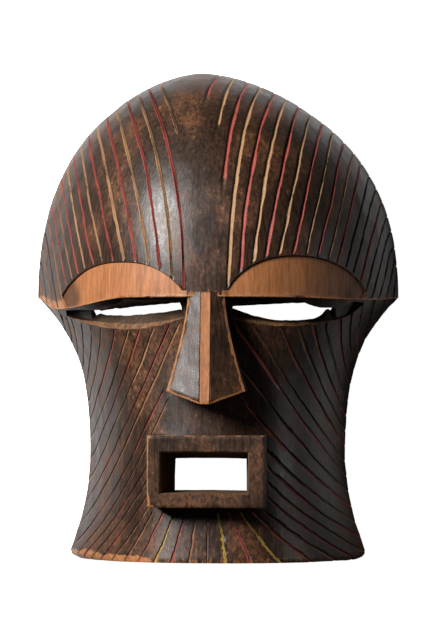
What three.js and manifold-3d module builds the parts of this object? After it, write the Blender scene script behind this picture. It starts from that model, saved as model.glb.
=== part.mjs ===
// A carved wooden face mask with a high striped dome, a brow that stands out like a shelf, slit eyes,
// a wedge-shaped nose, a square projecting mouth and a waisted face that flares to a flat chin.
// It is one block of wood, hollowed like a bowl from behind, and it lies on its flat back rim.
// Millimetres. +X is to the viewer's right, +Y runs up the face, +Z points out of the face.
import * as THREE from "three";
import { mergeVertices } from "three/addons/utils/BufferGeometryUtils.js";
import Module from "manifold-3d";

const wasm = await Module();
wasm.setup();

// Dome above the brow
const HALF_WIDTH = 138;
const SHOULDER_HEIGHT = 165;
const CREST_HEIGHT = 7.6;
const CREST_REACH = 76;
const CREST_ROUNDING = 8;
const BROW_DEPTH = 118;
const LEAN_AT_TOP = -10.5;
const BROW_DROOP = { left: 8.5, right: 1.5 };
const BROW_DROOP_STARTS = 0.42;
const BROW_DROOP_FULL = 0.86;
const BROW_DROOP_ENDS = 0.88;

// Face below the brow
const FACE_LENGTH = 199;
const WAIST_HALF_WIDTH = 97.4;
const CHEEK_FALL = 34;
const CHIN_FLARE = 15;
const CHIN_FLARE_START = 110;
const CHIN_SWELL_START = 70;
const FACE_DEPTH = 92;
const UNDER_BROW_DEPTH = 98;
const UNDER_BROW_FALL = 30;
const CHIN_DEPTH = 106;
const CHIN_CORNER = 9;
const CHIN_BEVEL = 5;
const BASE_SLOPE = 0.05;

// Walls of the hollow
const SIDE_WALL = 12;
const FRONT_WALL = 13;
const BASE_WALL = 14;
const LEDGE_WALL = 10;

// Grooves. A line's number runs outwards from the middle of the dome, and down and round the face
const GROOVE_WIDTH = { dome: 2.7, face: 2.2 };
const GROOVE_DEPTH = 1.6;
const MOST_OF_PITCH = 0.4;
const DOME_GROOVES = 21;
const FACE_GROOVES = 24;
const FIRST_LEFT_GROOVE = 3;

// Lids: bare half-moons sunk into the brow above each eye
const LID_CENTRE = 0.471 * HALF_WIDTH;
const LID_HALF_WIDTH = 0.37 * HALF_WIDTH;
const LID_HEIGHT = { left: 25.8, right: 30.3 };
const LID_ROUNDNESS = { left: [2.5, 0.9], right: [2.2, 0.65] };
const LID_SINK = 2;

// Nose
const NOSE_TOP_HALF_WIDTH = 13.4;
const NOSE_CORNER_HALF_WIDTH = 28.7;
const NOSE_CORNER_DROP = 68;
const NOSE_TIP_DROP = 77;
const NOSE_RIDGE_WIDTH = 7.4;
const NOSE_TIP_DEPTH = 132;
const NOSE_ABOVE_BROW = 2;
const NOSE_EDGE_FALL = { top: 4, tip: 11 };

// Mouth: a square frame around a tunnel that narrows inwards, as drops below the brow
const MOUTH_HALF_WIDTH = 43;
const MOUTH_TOP = 99.8;
const MOUTH_BOTTOM = 152.7;
const MOUTH_DEPTH = 121;
const MOUTH_RIM = { left: 10, right: 12, top: 12.6, bottom: 10.8 };
const MOUTH_NARROWING = { left: 8, right: 4, top: 6.2, bottom: 0 };

// Eyes: slits that go through as far as the temple and end in a blind pocket
const EYE_INNER = 0.12 * HALF_WIDTH;
const EYE_THROUGH = 0.63 * HALF_WIDTH;
const EYE_OUTER = 0.82 * HALF_WIDTH;
const EYE_TOP = 0.8;
const EYE_POCKET = 10;
const EYE_POCKET_FLOOR = 4;
const EYE_LEAST_HEIGHT = 1.5;
const LID_LEAST_THICKNESS = 0.4;
const LIP_LEAST_HEIGHT = 0.8;
const LIP_BEVEL_SLOPE = 0.75;

// Edges of the eyes, as drops below the brow that are lowest at a centre and rise to both ends:
// the lip's lower edge, its upper edge, and the slit's lower edge where it meets the hollow
const LIP = {
  left: { lowest: 24.1, centre: 62, inner: 7, innerRun: 40, outer: 10, outerRun: 53, power: 2 },
  right: { lowest: 21.5, centre: 58, inner: 4.6, innerRun: 40, outer: 16, outerRun: 53, power: 2.6 },
};
const LIP_TOP = {
  left: { lowest: 19.5, centre: 60, inner: 4.2, innerRun: 40, outer: 5.5, outerRun: 53, power: 2 },
  right: { lowest: 18.6, centre: 60, inner: 4, innerRun: 40, outer: 15.5, outerRun: 53, power: 4 },
};
const SLIT_BOTTOM = {
  left: { lowest: 13.1, centre: 70, inner: 3.4, innerRun: 48, outer: 3.2, outerRun: 17, power: 3 },
  right: { lowest: 16.5, centre: 56, inner: 8.5, innerRun: 39, outer: 12.4, outerRun: 31, power: 5 },
};
const SLIT_TOP = { left: { inner: 3.6, outer: 9.9 }, right: { inner: 6.4, outer: 4.1 } };

// Exponents that shape the curves
const OUTLINE_POWER = 2.3;
const PLAN_POWER = 2.4;
const PROFILE_POWER = 2.15;
const CHEEK_POWER = 1.15;
const FACE_POWER = 2.6;
const LEAN_POWER = 3;

// How far one solid reaches into the next where they are joined or cut
const OVERLAP = 10;

// The depth inside the face from which nose and mouth rise, under its surface wherever they stand
const JOIN_DEPTH = 0.75 * FACE_DEPTH;

// The width all distances across the eyes were drawn for
const DRAWN_HALF_WIDTH = 138;
const ACROSS = HALF_WIDTH / DRAWN_HALF_WIDTH;

const clamp = (value, low, high) => Math.min(high, Math.max(low, value));
const mix = (a, b, t) => a + (b - a) * t;
const smooth = (t) => t * t * (3 - 2 * t);
const sideName = (side) => (side < 0 ? "left" : "right");
const quarterRound = (t) => 1 - Math.sqrt(1 - clamp(t, 0, 1) ** 2);

// Height of the dome's outline above the brow at x: a rounded shoulder with a low pointed crest.
function domeHeight(x, inset = 0) {
  const across = clamp(Math.abs(x) / (HALF_WIDTH - inset), 0, 1);
  const shoulder = (SHOULDER_HEIGHT - inset) * (1 - across ** 2) ** (1 / OUTLINE_POWER);
  const crest = CREST_HEIGHT * Math.max(0, 1 - Math.hypot(x, CREST_ROUNDING) / CREST_REACH);
  return shoulder + crest;
}

// How far the brow's edge stands above the back rim at x.
function browDepth(x, inset = 0) {
  const across = clamp(Math.abs(x) / (HALF_WIDTH - inset), 0, 1);
  return (BROW_DEPTH - inset) * (1 - across ** PLAN_POWER);
}

// The brow's lower edge: level in the middle, hanging a little near its ends.
function browLine(x) {
  const droop = x < 0 ? BROW_DROOP.left : BROW_DROOP.right;
  const across = Math.abs(x) / HALF_WIDTH;
  const run = (from, to) => smooth(clamp((across - from) / (to - from), 0, 1));
  return -droop * run(BROW_DROOP_STARTS, BROW_DROOP_FULL) * (1 - run(BROW_DROOP_ENDS, 1));
}

// The whole dome leans to one side towards its top.
function lean(y) {
  return LEAN_AT_TOP * (Math.max(0, y) / (SHOULDER_HEIGHT + CREST_HEIGHT)) ** LEAN_POWER;
}

// A point of the dome, sunk below its surface: x is across before the lean, and rise runs from 0 at
// the brow's edge to 1 at the rim. For one x the section is a superellipse.
function domePoint(x, rise, sink = 0) {
  const height = Math.max(domeHeight(x), 1e-6);
  const depth = Math.max(browDepth(x), 1e-6);
  const fall = (1 - rise ** PROFILE_POWER) ** (1 / PROFILE_POWER);
  const low = browLine(x);
  const step = 0.5;
  const heightSlope = (domeHeight(x + step) - domeHeight(x - step)) / (2 * step);
  const depthSlope = (browDepth(x + step) - browDepth(x - step)) / (2 * step);
  const normal = new THREE.Vector3(
    (-(rise ** PROFILE_POWER) * heightSlope) / height - (fall ** PROFILE_POWER * depthSlope) / depth,
    rise ** (PROFILE_POWER - 1) / height,
    fall ** (PROFILE_POWER - 1) / depth,
  ).normalize();
  const y = low + (height - low) * rise;
  if (rise === 0) return new THREE.Vector3(x, low, depth - Math.min(sink, 0.4 * depth));
  const point = new THREE.Vector3(x + lean(y), y, depth * fall);
  point.addScaledVector(normal, -sink);
  point.z = rise === 1 ? 0 : Math.max(point.z, 0.4 * depth * fall);
  return point;
}

// The bare crest between the two sides' grooves: where each of its lines meets brow and rim
const CREST_LINES = [[-8.4, -16], [-7, 0]].map((ends) => ends.map((x) => x * ACROSS));

// Height of the lids' upper edge above the brow at x, 0 beside them.
function lidHeight(x) {
  const across = Math.abs(Math.abs(x) - LID_CENTRE) / LID_HALF_WIDTH;
  if (across >= 1) return 0;
  const name = sideName(x);
  const [power, root] = LID_ROUNDNESS[name];
  return LID_HEIGHT[name] * (1 - across ** power) ** root;
}

// The dome's lines: the angle at which the first one leaves the rim, how close together they meet the
// brow, and how they bend. The inner lines bend late and the outer ones early.
const FIRST_RIM_ANGLE = 5.7;
const FIRST_REGULAR_LINE = 4;
const FIRST_REGULAR_X = 15.7 * ACROSS;
const INNER_SPACING = { left: 5.2 * ACROSS, right: 6.6 * ACROSS };
const BROW_CROWDING = { inner: 1.315, outer: 1.15 };
const BROW_LINE_ZERO = 2.3;
const LINES_PAST_LAST = 0.7;
const INNER_BEND = { least: 1.1, added: 5, power: 1.1 };
const OUTER_BEND = 0.65;
const BEND_CHANGES_OVER = 8;

// Where dome line n lies at a rise, for side -1 or 1.
function domeLineX(side, n, rise) {
  const angle = THREE.MathUtils.degToRad(mix(FIRST_RIM_ANGLE, 90, (n - 1) / (DOME_GROOVES - 0.4)));
  const atRim = HALF_WIDTH * Math.sin(Math.min(angle, Math.PI / 2));
  const along = clamp((n - BROW_LINE_ZERO) / (DOME_GROOVES - BROW_LINE_ZERO + LINES_PAST_LAST), 0, 1);
  const outwards = smooth(clamp((n - FIRST_REGULAR_LINE) / BEND_CHANGES_OVER, 0, 1));
  let atBrow = HALF_WIDTH * (1 - (1 - along) ** mix(BROW_CROWDING.inner, BROW_CROWDING.outer, outwards));
  if (n < FIRST_REGULAR_LINE) {
    atBrow = FIRST_REGULAR_X - INNER_SPACING[sideName(side)] * (FIRST_REGULAR_LINE - n);
  }
  const innerBend = INNER_BEND.least + INNER_BEND.added / n ** INNER_BEND.power;
  const bend = mix(innerBend, OUTER_BEND, outwards);
  return side * mix(atBrow, atRim, rise ** bend);
}

// One edge or the bottom of dome groove n as a line: edge is -1, 0 or 1. The groove keeps its width
// where the lines draw together, but never takes more than most of the space between them.
function domeLine(side, n, edge = 0) {
  const at = (rise, number) => domePoint(domeLineX(side, number, rise), rise);
  return (rise) => {
    const pitch = at(rise, n + 0.5).distanceTo(at(rise, n - 0.5));
    const half = Math.min(MOST_OF_PITCH, GROOVE_WIDTH.dome / 2 / pitch);
    return domeLineX(side, n + edge * half, rise);
  };
}

// Where along a dome line the lid's edge lies, as a rise.
function lidRise(line) {
  let rise = 0;
  for (let pass = 0; pass < 8; pass += 1) {
    const x = line(rise);
    const top = lidHeight(x);
    rise = top === 0 ? 0 : (top - browLine(x)) / (domeHeight(x) - browLine(x));
  }
  return rise;
}

// The short grooves beside the crest fade out part of the way down: the rise where each ends.
function grooveEnd(side, n) {
  if (n >= 4) return 0;
  return side > 0 ? [0.84, 0.75, 0.5][n - 1] : 0.65;
}

// One column of the dome: rim, groove or ridge, lid, brow's edge, and under it to the back plane.
function domeColumn(line, grooveDepth, fadeRise) {
  const edge = lidRise(line);
  const points = [];
  const steps = 8;
  for (let i = 0; i <= steps; i += 1) {
    const rise = mix(1, edge, (i / steps) ** 0.9);
    const fade = fadeRise > 0 ? smooth(clamp((rise - fadeRise) / 0.12, 0, 1)) : 1;
    const ending = i === steps ? 0 : 1;
    points.push(domePoint(line(rise), rise, grooveDepth * fade * ending));
  }
  for (const share of [0.94, 0.5, 0]) {
    const sunk = edge > 0 ? LID_SINK * Math.min(1, edge / 0.05) : 0;
    points.push(domePoint(line(edge * share), edge * share, sunk));
  }
  const last = points[points.length - 1];
  points.push(new THREE.Vector3(last.x, last.y, 0));
  return points;
}

// All columns of the dome from the left corner to the right one.
function domeColumns() {
  const columns = [];
  for (const side of [-1, 1]) {
    const first = side < 0 ? FIRST_LEFT_GROOVE : 1;
    const sideColumns = [];
    for (let n = first; n <= DOME_GROOVES; n += 1) {
      for (const [edge, depth] of [[-1, 0], [0, GROOVE_DEPTH], [1, 0]]) {
        sideColumns.push(domeColumn(domeLine(side, n, edge), depth, grooveEnd(side, n)));
      }
    }
    const corner = () => side * HALF_WIDTH;
    sideColumns.push(domeColumn(corner, 0, 0));
    if (side < 0) {
      sideColumns.reverse();
      for (const [atBrow, atRim] of CREST_LINES) {
        const crest = (rise) => mix(atBrow, atRim, rise ** 2);
        sideColumns.push(domeColumn(crest, 0, 0));
      }
    }
    columns.push(...sideColumns);
  }
  return columns;
}

// Half the face's width at a drop below the brow.
function faceHalfWidth(drop, inset = 0) {
  const below = Math.max(0, drop);
  const cheek = (HALF_WIDTH - WAIST_HALF_WIDTH) * Math.exp(-((below / CHEEK_FALL) ** CHEEK_POWER));
  const flareRun = FACE_LENGTH - 10 - CHIN_FLARE_START;
  const flare = CHIN_FLARE * clamp((drop - CHIN_FLARE_START) / flareRun, 0, 1.06) ** 2;
  const corner = CHIN_CORNER * quarterRound((drop - FACE_LENGTH + CHIN_CORNER) / CHIN_CORNER);
  const inDome = 0.3 * Math.max(0, -drop);
  return WAIST_HALF_WIDTH + cheek + flare - corner - inDome - inset;
}

// Depth of the face along its middle.
function faceMiddleDepth(drop, inset = 0) {
  const below = Math.max(0, drop);
  const underBrow = (UNDER_BROW_DEPTH - FACE_DEPTH) * Math.exp(-((below / UNDER_BROW_FALL) ** 2));
  const run = FACE_LENGTH - CHIN_SWELL_START;
  const chin = (CHIN_DEPTH - FACE_DEPTH) * clamp((drop - CHIN_SWELL_START) / run, 0, 1) ** 1.5;
  const bevel = CHIN_BEVEL * quarterRound((drop - FACE_LENGTH + CHIN_CORNER) / CHIN_CORNER);
  return FACE_DEPTH + underBrow + chin - bevel - inset;
}

function faceDepth(x, drop) {
  const across = clamp(Math.abs(x) / faceHalfWidth(drop), 0, 1);
  return faceMiddleDepth(drop) * (1 - across ** FACE_POWER);
}

// Depth of the hollow behind the face.
function hollowDepth(x, drop) {
  const across = clamp(Math.abs(x) / faceHalfWidth(drop, SIDE_WALL), 0, 1);
  return faceMiddleDepth(drop, FRONT_WALL) * (1 - across ** FACE_POWER);
}

// A point of the face, sunk below its surface. A point on the side rim keeps to the back plane.
function facePoint(across, drop, sink = 0) {
  const x = across * faceHalfWidth(drop);
  const step = 0.5;
  const slopeX = (faceDepth(x + step, drop) - faceDepth(x - step, drop)) / (2 * step);
  const slopeDrop = (faceDepth(x, drop + step) - faceDepth(x, drop - step)) / (2 * step);
  const normal = new THREE.Vector3(-slopeX, slopeDrop, 1).normalize();
  const point = new THREE.Vector3(x, -drop, faceDepth(x, drop));
  point.addScaledVector(normal, -sink);
  if (Math.abs(across) === 1) point.z = 0;
  return point;
}

// One of the eye's curved edges at x, as a drop below the brow.
function eyeEdge(shape, x) {
  const { lowest, centre, inner, innerRun, outer, outerRun, power } = shape;
  const out = Math.abs(x) / ACROSS - centre;
  if (out < 0) return lowest - inner * (-out / innerRun) ** 2;
  return lowest - outer * (out / outerRun) ** power;
}

// The lip's lower edge, where the face's grooves start. Beside the eye they start under the brow.
const lowerLid = (side, x) => Math.max(-UNDER_BROW_START, eyeEdge(LIP[sideName(side)], x));

// Numbers of the face grooves that start a new stretch of the fan
const LAST_LID_GROOVE = 12;
const NOSE_GROOVES = [13, 14];
const FIRST_MOUTH_GROOVE = 15;
const LAST_SIDE_GROOVE = 18;
const FIRST_UNDER_GROOVE = 19;
const CORNER_GROOVE = { left: 13.5, right: 17.5 };

// Where the lines start: across the lids as shares of the half width, beside the nose as places
// [x, drop], down the mouth's side as shares of its height, and how far under the brow or the mouth
const LID_STARTS = {
  left: [0.869, 0.831, 0.799, 0.732, 0.668, 0.609, 0.522, 0.441, 0.375, 0.295, 0.201, 0.143],
  right: [0.975, 0.922, 0.867, 0.812, 0.757, 0.698, 0.618, 0.554, 0.476, 0.385, 0.232, 0.139],
};
const NOSE_STARTS = { left: [[34, 69], [30, 74.5]], right: [[21.5, 49], [25, 75]] };
const MOUTH_STARTS = { left: [0.36, 0.96], right: [0.27, 0.88] };
const UNDER_BROW_START = 3;
const UNDER_MOUTH_START = 4;

// Where the lines end: the first one's drop on the rim, how they crowd down it, and how far the
// spacing along the base is eased at both its ends
const FIRST_END = { left: 28.4, right: 8.4 };
const RIM_CROWDING = { left: 1.3, right: 1 };
const BASE_CROWDING = 1.4;
const BASE_EASE = { left: 0, right: 0.5 };

// How far apart a groove's two edges meet the middle line, in line numbers
const ROOT_SPREAD = 0.13;

// The start of face line n: along the lower lid, beside the nose, down the mouth's side and under it.
function fanStart(side, n) {
  const name = sideName(side);
  const onLid = (number) => {
    const last = LID_STARTS[name].length - 1;
    const place = clamp(number - 1, 0, last);
    const before = Math.min(last - 1, Math.floor(place));
    const x = HALF_WIDTH * mix(LID_STARTS[name][before], LID_STARTS[name][before + 1], place - before);
    return { x, drop: lowerLid(side, x) };
  };
  if (n <= 1) return { x: onLid(1).x, drop: mix(-OVERLAP, onLid(1).drop, n) };
  if (n <= LAST_LID_GROOVE) return onLid(n);
  const down = (share) => mix(MOUTH_TOP, MOUTH_BOTTOM, share);
  const under = MOUTH_BOTTOM + UNDER_MOUTH_START;
  const inner = onLid(LAST_LID_GROOVE);
  const [upperNose, lowerNose] = NOSE_STARTS[name];
  const [mouthFirst, mouthLast] = MOUTH_STARTS[name];
  const stops = [
    [LAST_LID_GROOVE, inner.x, inner.drop],
    [NOSE_GROOVES[0], ...upperNose],
    [NOSE_GROOVES[1], ...lowerNose],
    [FIRST_MOUTH_GROOVE, MOUTH_HALF_WIDTH, down(mouthFirst)],
    [LAST_SIDE_GROOVE, MOUTH_HALF_WIDTH, down(mouthLast)],
    [FIRST_UNDER_GROOVE, MOUTH_HALF_WIDTH - 1.5, under],
    [FACE_GROOVES, 0, under],
  ];
  const next = stops.findIndex((stop) => stop[0] >= n);
  const [fromNumber, fromX, fromDrop] = stops[next - 1];
  const [toNumber, toX, toDrop] = stops[next];
  const part = (n - fromNumber) / (toNumber - fromNumber);
  return { x: mix(fromX, toX, part), drop: mix(fromDrop, toDrop, part) };
}

// The end of face line n: down the side rim to the chin's corner, then along the base to its middle.
function fanEnd(side, n) {
  const name = sideName(side);
  const corner = CORNER_GROOVE[name];
  if (n <= 1) return { across: 1, drop: mix(-OVERLAP, FIRST_END[name], n) };
  if (n <= corner) {
    const part = ((n - 1) / (corner - 1)) ** RIM_CROWDING[name];
    return { across: 1, drop: mix(FIRST_END[name], FACE_LENGTH, part) };
  }
  const part = (n - corner) / (FACE_GROOVES - corner);
  const x = (1 - mix(part ** BASE_CROWDING, smooth(part), BASE_EASE[name])) * faceHalfWidth(FACE_LENGTH);
  let drop = FACE_LENGTH;
  for (let pass = 0; pass < 6; pass += 1) {
    drop = FACE_LENGTH - BASE_SLOPE * faceDepth(x, drop);
  }
  return { across: x / faceHalfWidth(drop), drop };
}

// The point on the face's middle line that face line n is carried on to, under nose and mouth. Above
// the mouth's lower edge the two sides' lines meet it at the same places.
function fanRoot(n) {
  const lid = (lowerLid(-1, EYE_INNER) + lowerLid(1, EYE_INNER)) / 2;
  const under = MOUTH_BOTTOM + UNDER_MOUTH_START;
  if (n <= LAST_LID_GROOVE) return mix(-OVERLAP, lid, n / LAST_LID_GROOVE);
  return mix(lid, under, (n - LAST_LID_GROOVE) / (FACE_GROOVES - LAST_LID_GROOVE));
}

// A point of face line n at a part of its run from start to end.
function fanPoint(side, n, part, sink = 0) {
  const start = fanStart(side, n);
  const end = fanEnd(side, n);
  const startAcross = start.x / faceHalfWidth(start.drop);
  return facePoint(side * mix(startAcross, end.across, part), mix(start.drop, end.drop, part), sink);
}

// How many line numbers half a groove takes at a part of its run, so that it keeps its width.
function halfGroove(side, n, part) {
  const step = 0.05;
  const ahead = fanPoint(side, n, Math.min(1, part + step));
  const heading = ahead.sub(fanPoint(side, n, Math.max(0, part - step))).normalize();
  const beside = fanPoint(side, Math.min(FACE_GROOVES, n + 0.5), part);
  beside.sub(fanPoint(side, Math.max(0, n - 0.5), part));
  const pitch = beside.cross(heading).length() / (Math.min(FACE_GROOVES, n + 0.5) - n + 0.5);
  return Math.min(MOST_OF_PITCH, GROOVE_WIDTH.face / 2 / pitch);
}

// One row of the face for one edge or the bottom of line n: edge is -1, 0 or 1, and side -1 or 1. It
// runs from the middle line out to the rim or the base.
function fanRow(side, n, edge, grooveDepth) {
  const shifted = (part) => n + (edge === 0 ? 0 : edge * halfGroove(side, n, part));
  const first = fanStart(side, shifted(0));
  const root = fanRoot(n + edge * ROOT_SPREAD);
  const row = [];
  for (const part of [0, 0.5]) {
    const drop = mix(root, first.drop, part);
    row.push(facePoint((side * part * first.x) / faceHalfWidth(first.drop), drop));
  }
  for (const part of [0, 0.07, 0.28, 0.52, 0.76, 1]) {
    row.push(fanPoint(side, shifted(part), part, part === 0 ? 0 : grooveDepth));
  }
  return row;
}

// Builds a solid from triangles that share their corners.
class Shell {
  constructor() {
    this.corners = [];
  }
  triangle(a, b, c) {
    this.corners.push(a, b, c);
  }
  quad(a, b, c, d) {
    this.triangle(a, b, c);
    this.triangle(a, c, d);
  }
  // A flat polygon, given in order; turn it over where the other side is the outside.
  polygon(points, overturned = false) {
    const flat = points.map((p) => new THREE.Vector2(p.x, p.y));
    if (THREE.ShapeUtils.isClockWise(flat) !== overturned) {
      flat.reverse();
      points = [...points].reverse();
    }
    for (const [a, b, c] of THREE.ShapeUtils.triangulateShape(flat, [])) {
      if (overturned) this.triangle(points[a], points[c], points[b]);
      else this.triangle(points[a], points[b], points[c]);
    }
  }
  solid() {
    const loose = new THREE.BufferGeometry().setFromPoints(this.corners);
    const merged = mergeVertices(loose, 1e-3);
    const kept = [];
    const index = merged.index.array;
    for (let i = 0; i < index.length; i += 3) {
      const [a, b, c] = [index[i], index[i + 1], index[i + 2]];
      if (a !== b && b !== c && c !== a) kept.push(a, b, c);
    }
    const vertProperties = new Float32Array(merged.attributes.position.array);
    const triVerts = new Uint32Array(kept);
    const made = new wasm.Manifold(new wasm.Mesh({ numProp: 3, vertProperties, triVerts }));
    if (made.volume() <= 0) throw new Error("a shell faces inwards");
    return made;
  }
}

// Joins closed loops of equal count one to the next, and closes both ends, by the quads named in caps
// or else by a fan about the end loop's own middle.
function loftLoops(loops, caps = null) {
  const shell = new Shell();
  for (let i = 0; i + 1 < loops.length; i += 1) {
    const near = loops[i];
    const far = loops[i + 1];
    for (let j = 0; j < near.length; j += 1) {
      const next = (j + 1) % near.length;
      shell.quad(near[j], near[next], far[next], far[j]);
    }
  }
  const first = loops[0];
  const last = loops[loops.length - 1];
  if (caps) {
    for (const [a, b, c, d] of caps) {
      shell.quad(first[d], first[c], first[b], first[a]);
      shell.quad(last[a], last[b], last[c], last[d]);
    }
    return shell.solid();
  }
  const middleOf = (loop) =>
    loop.reduce((sum, point) => sum.add(point), new THREE.Vector3()).divideScalar(loop.length);
  const firstMiddle = middleOf(first);
  const lastMiddle = middleOf(last);
  for (let j = 0; j < first.length; j += 1) {
    const next = (j + 1) % first.length;
    shell.triangle(firstMiddle, first[next], first[j]);
    shell.triangle(lastMiddle, last[j], last[next]);
  }
  return shell.solid();
}

// Joins two flat polygons of equal count, one in front of the other.
function loftPolygons(back, front) {
  const shell = new Shell();
  for (let i = 0; i < back.length; i += 1) {
    const next = (i + 1) % back.length;
    shell.quad(back[i], back[next], front[next], front[i]);
  }
  shell.polygon(front);
  shell.polygon(back, true);
  return shell.solid();
}

function domeSolid() {
  const columns = domeColumns();
  const shell = new Shell();
  for (let i = 0; i + 1 < columns.length; i += 1) {
    for (let j = 0; j + 1 < columns[i].length; j += 1) {
      shell.quad(columns[i][j], columns[i][j + 1], columns[i + 1][j + 1], columns[i + 1][j]);
    }
  }
  const rim = columns.map((column) => column[0]);
  const back = columns.map((column) => column[column.length - 1]);
  shell.polygon([...back, ...rim.slice(1, -1).reverse()], true);
  return shell.solid();
}

function faceSolid() {
  const corners = Object.values(CORNER_GROOVE);
  const lines = [[0, 0, 0], [0.5, 0, 0]];
  for (let n = 1; n < FACE_GROOVES; n += 1) {
    for (const [edge, depth] of [[-1, 0], [0, GROOVE_DEPTH], [1, 0]]) lines.push([n, edge, depth]);
    const corner = corners.find((number) => n < number && number < n + 1);
    if (corner) lines.push([corner, 0, 0]);
  }
  lines.push([FACE_GROOVES, -1, 0], [FACE_GROOVES, 0, GROOVE_DEPTH]);
  const shell = new Shell();
  const floor = (point) => new THREE.Vector3(point.x, point.y, 0);
  const rowsOf = (side) => lines.map(([n, edge, depth]) => fanRow(side, n, edge, depth));
  const sides = [rowsOf(-1), rowsOf(1)];
  sides.forEach((rows, which) => {
    const put = (a, b, c, d) => (which === 1 ? shell.quad(a, b, c, d) : shell.quad(d, c, b, a));
    for (let i = 0; i + 1 < rows.length; i += 1) {
      for (let j = 0; j + 1 < rows[i].length; j += 1) {
        put(rows[i][j], rows[i + 1][j], rows[i + 1][j + 1], rows[i][j + 1]);
      }
      const a = rows[i][rows[i].length - 1];
      const b = rows[i + 1][rows[i + 1].length - 1];
      put(a, b, floor(b), floor(a));
    }
    const top = rows[0];
    for (let j = 0; j + 1 < top.length; j += 1) {
      put(top[j], top[j + 1], floor(top[j + 1]), floor(top[j]));
    }
  });
  const [left, right] = sides;
  const outer = (rows) => rows.map((row) => floor(row[row.length - 1]));
  const contour = [
    ...right[0].map(floor),
    ...outer(right).slice(1),
    ...outer(left).slice(0, -1).reverse(),
    ...left[0].slice(1, -1).map(floor).reverse(),
  ];
  shell.polygon(contour, true);
  return shell.solid();
}

// The hollow of the dome and that of the face, each open at the back.
function hollowSolids() {
  const width = HALF_WIDTH - SIDE_WALL;
  const columns = [];
  const count = 16;
  for (let i = 0; i <= count; i += 1) {
    const x = -width * 0.998 * Math.cos((Math.PI * i) / count);
    const height = Math.max(LEDGE_WALL, domeHeight(x, SIDE_WALL));
    const depth = (browDepth(x, SIDE_WALL) * (BROW_DEPTH - FRONT_WALL)) / (BROW_DEPTH - SIDE_WALL);
    const column = [];
    const steps = 7;
    for (let j = 0; j <= steps; j += 1) {
      const turn = (Math.PI / 2) * (j / steps);
      const rise = Math.cos(turn) ** (2 / PROFILE_POWER);
      const fall = Math.sin(turn) ** (2 / PROFILE_POWER);
      const y = mix(LEDGE_WALL, height, rise);
      column.push(new THREE.Vector3(x + lean(y), y, depth * fall));
    }
    column.push(new THREE.Vector3(x, LEDGE_WALL, -OVERLAP));
    column.push(new THREE.Vector3(x + lean(height), height, -OVERLAP));
    columns.push(column);
  }
  const domeHollow = loftLoops(columns);

  const loops = [];
  const shares = [0, 0.06, 0.13, 0.2, 0.3, 0.45, 0.63, 0.75, 0.86];
  const drops = [-2 * LEDGE_WALL, ...shares.map((share) => share * FACE_LENGTH), FACE_LENGTH - BASE_WALL];
  for (const drop of drops) {
    const halfWidth = faceHalfWidth(Math.max(0, drop), SIDE_WALL);
    const loop = [];
    const steps = 18;
    for (let i = 0; i <= steps; i += 1) {
      const x = halfWidth * Math.cos((Math.PI * i) / steps);
      loop.push(new THREE.Vector3(x, -drop, hollowDepth(x, Math.max(0, drop))));
    }
    loop.push(new THREE.Vector3(-halfWidth, -drop, -OVERLAP));
    loop.push(new THREE.Vector3(halfWidth, -drop, -OVERLAP));
    loops.push(loop);
  }
  return domeHollow.add(loftLoops(loops));
}

// The nose: two planes falling from a flat ridge strip, widening to a shallow point.
function noseSolid() {
  const ridge = NOSE_RIDGE_WIDTH / 2;
  const parts = [1, 0.7, 0.4, 0.15, -0.05];
  const loops = parts.map((part) => {
    const half = mix(NOSE_TOP_HALF_WIDTH, NOSE_CORNER_HALF_WIDTH, Math.max(0, part) ** 1.4);
    const top = mix(BROW_DEPTH + NOSE_ABOVE_BROW, NOSE_TIP_DEPTH, part);
    const edge = top - mix(NOSE_EDGE_FALL.top, NOSE_EDGE_FALL.tip, part);
    const sideY = -NOSE_CORNER_DROP * part;
    const ridgeY = -NOSE_TIP_DROP * part;
    return [
      new THREE.Vector3(-half, sideY, JOIN_DEPTH),
      new THREE.Vector3(-half, sideY, edge),
      new THREE.Vector3(-ridge, ridgeY, top),
      new THREE.Vector3(ridge, ridgeY, top),
      new THREE.Vector3(half, sideY, edge),
      new THREE.Vector3(half, sideY, JOIN_DEPTH),
      new THREE.Vector3(ridge, ridgeY, JOIN_DEPTH),
      new THREE.Vector3(-ridge, ridgeY, JOIN_DEPTH),
    ];
  });
  const caps = [[0, 1, 2, 7], [7, 2, 3, 6], [6, 3, 4, 5]];
  return loftLoops(loops, caps);
}

const rectangle = (left, right, low, high, z) => [
  new THREE.Vector3(left, low, z),
  new THREE.Vector3(right, low, z),
  new THREE.Vector3(right, high, z),
  new THREE.Vector3(left, high, z),
];

function mouthFrameSolid() {
  return loftPolygons(
    rectangle(-MOUTH_HALF_WIDTH, MOUTH_HALF_WIDTH, -MOUTH_BOTTOM, -MOUTH_TOP, JOIN_DEPTH),
    rectangle(-MOUTH_HALF_WIDTH, MOUTH_HALF_WIDTH, -MOUTH_BOTTOM, -MOUTH_TOP, MOUTH_DEPTH),
  );
}

function mouthTunnelSolid() {
  const length = MOUTH_DEPTH - (FACE_DEPTH - FRONT_WALL);
  const level = (behindFront) => {
    const part = behindFront / length;
    return rectangle(
      -MOUTH_HALF_WIDTH + MOUTH_RIM.left + MOUTH_NARROWING.left * part,
      MOUTH_HALF_WIDTH - MOUTH_RIM.right - MOUTH_NARROWING.right * part,
      -MOUTH_BOTTOM + MOUTH_RIM.bottom + MOUTH_NARROWING.bottom * part,
      -MOUTH_TOP - MOUTH_RIM.top - MOUTH_NARROWING.top * part,
      MOUTH_DEPTH - behindFront,
    );
  };
  return loftPolygons(level(length + OVERLAP), level(-OVERLAP));
}

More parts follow.
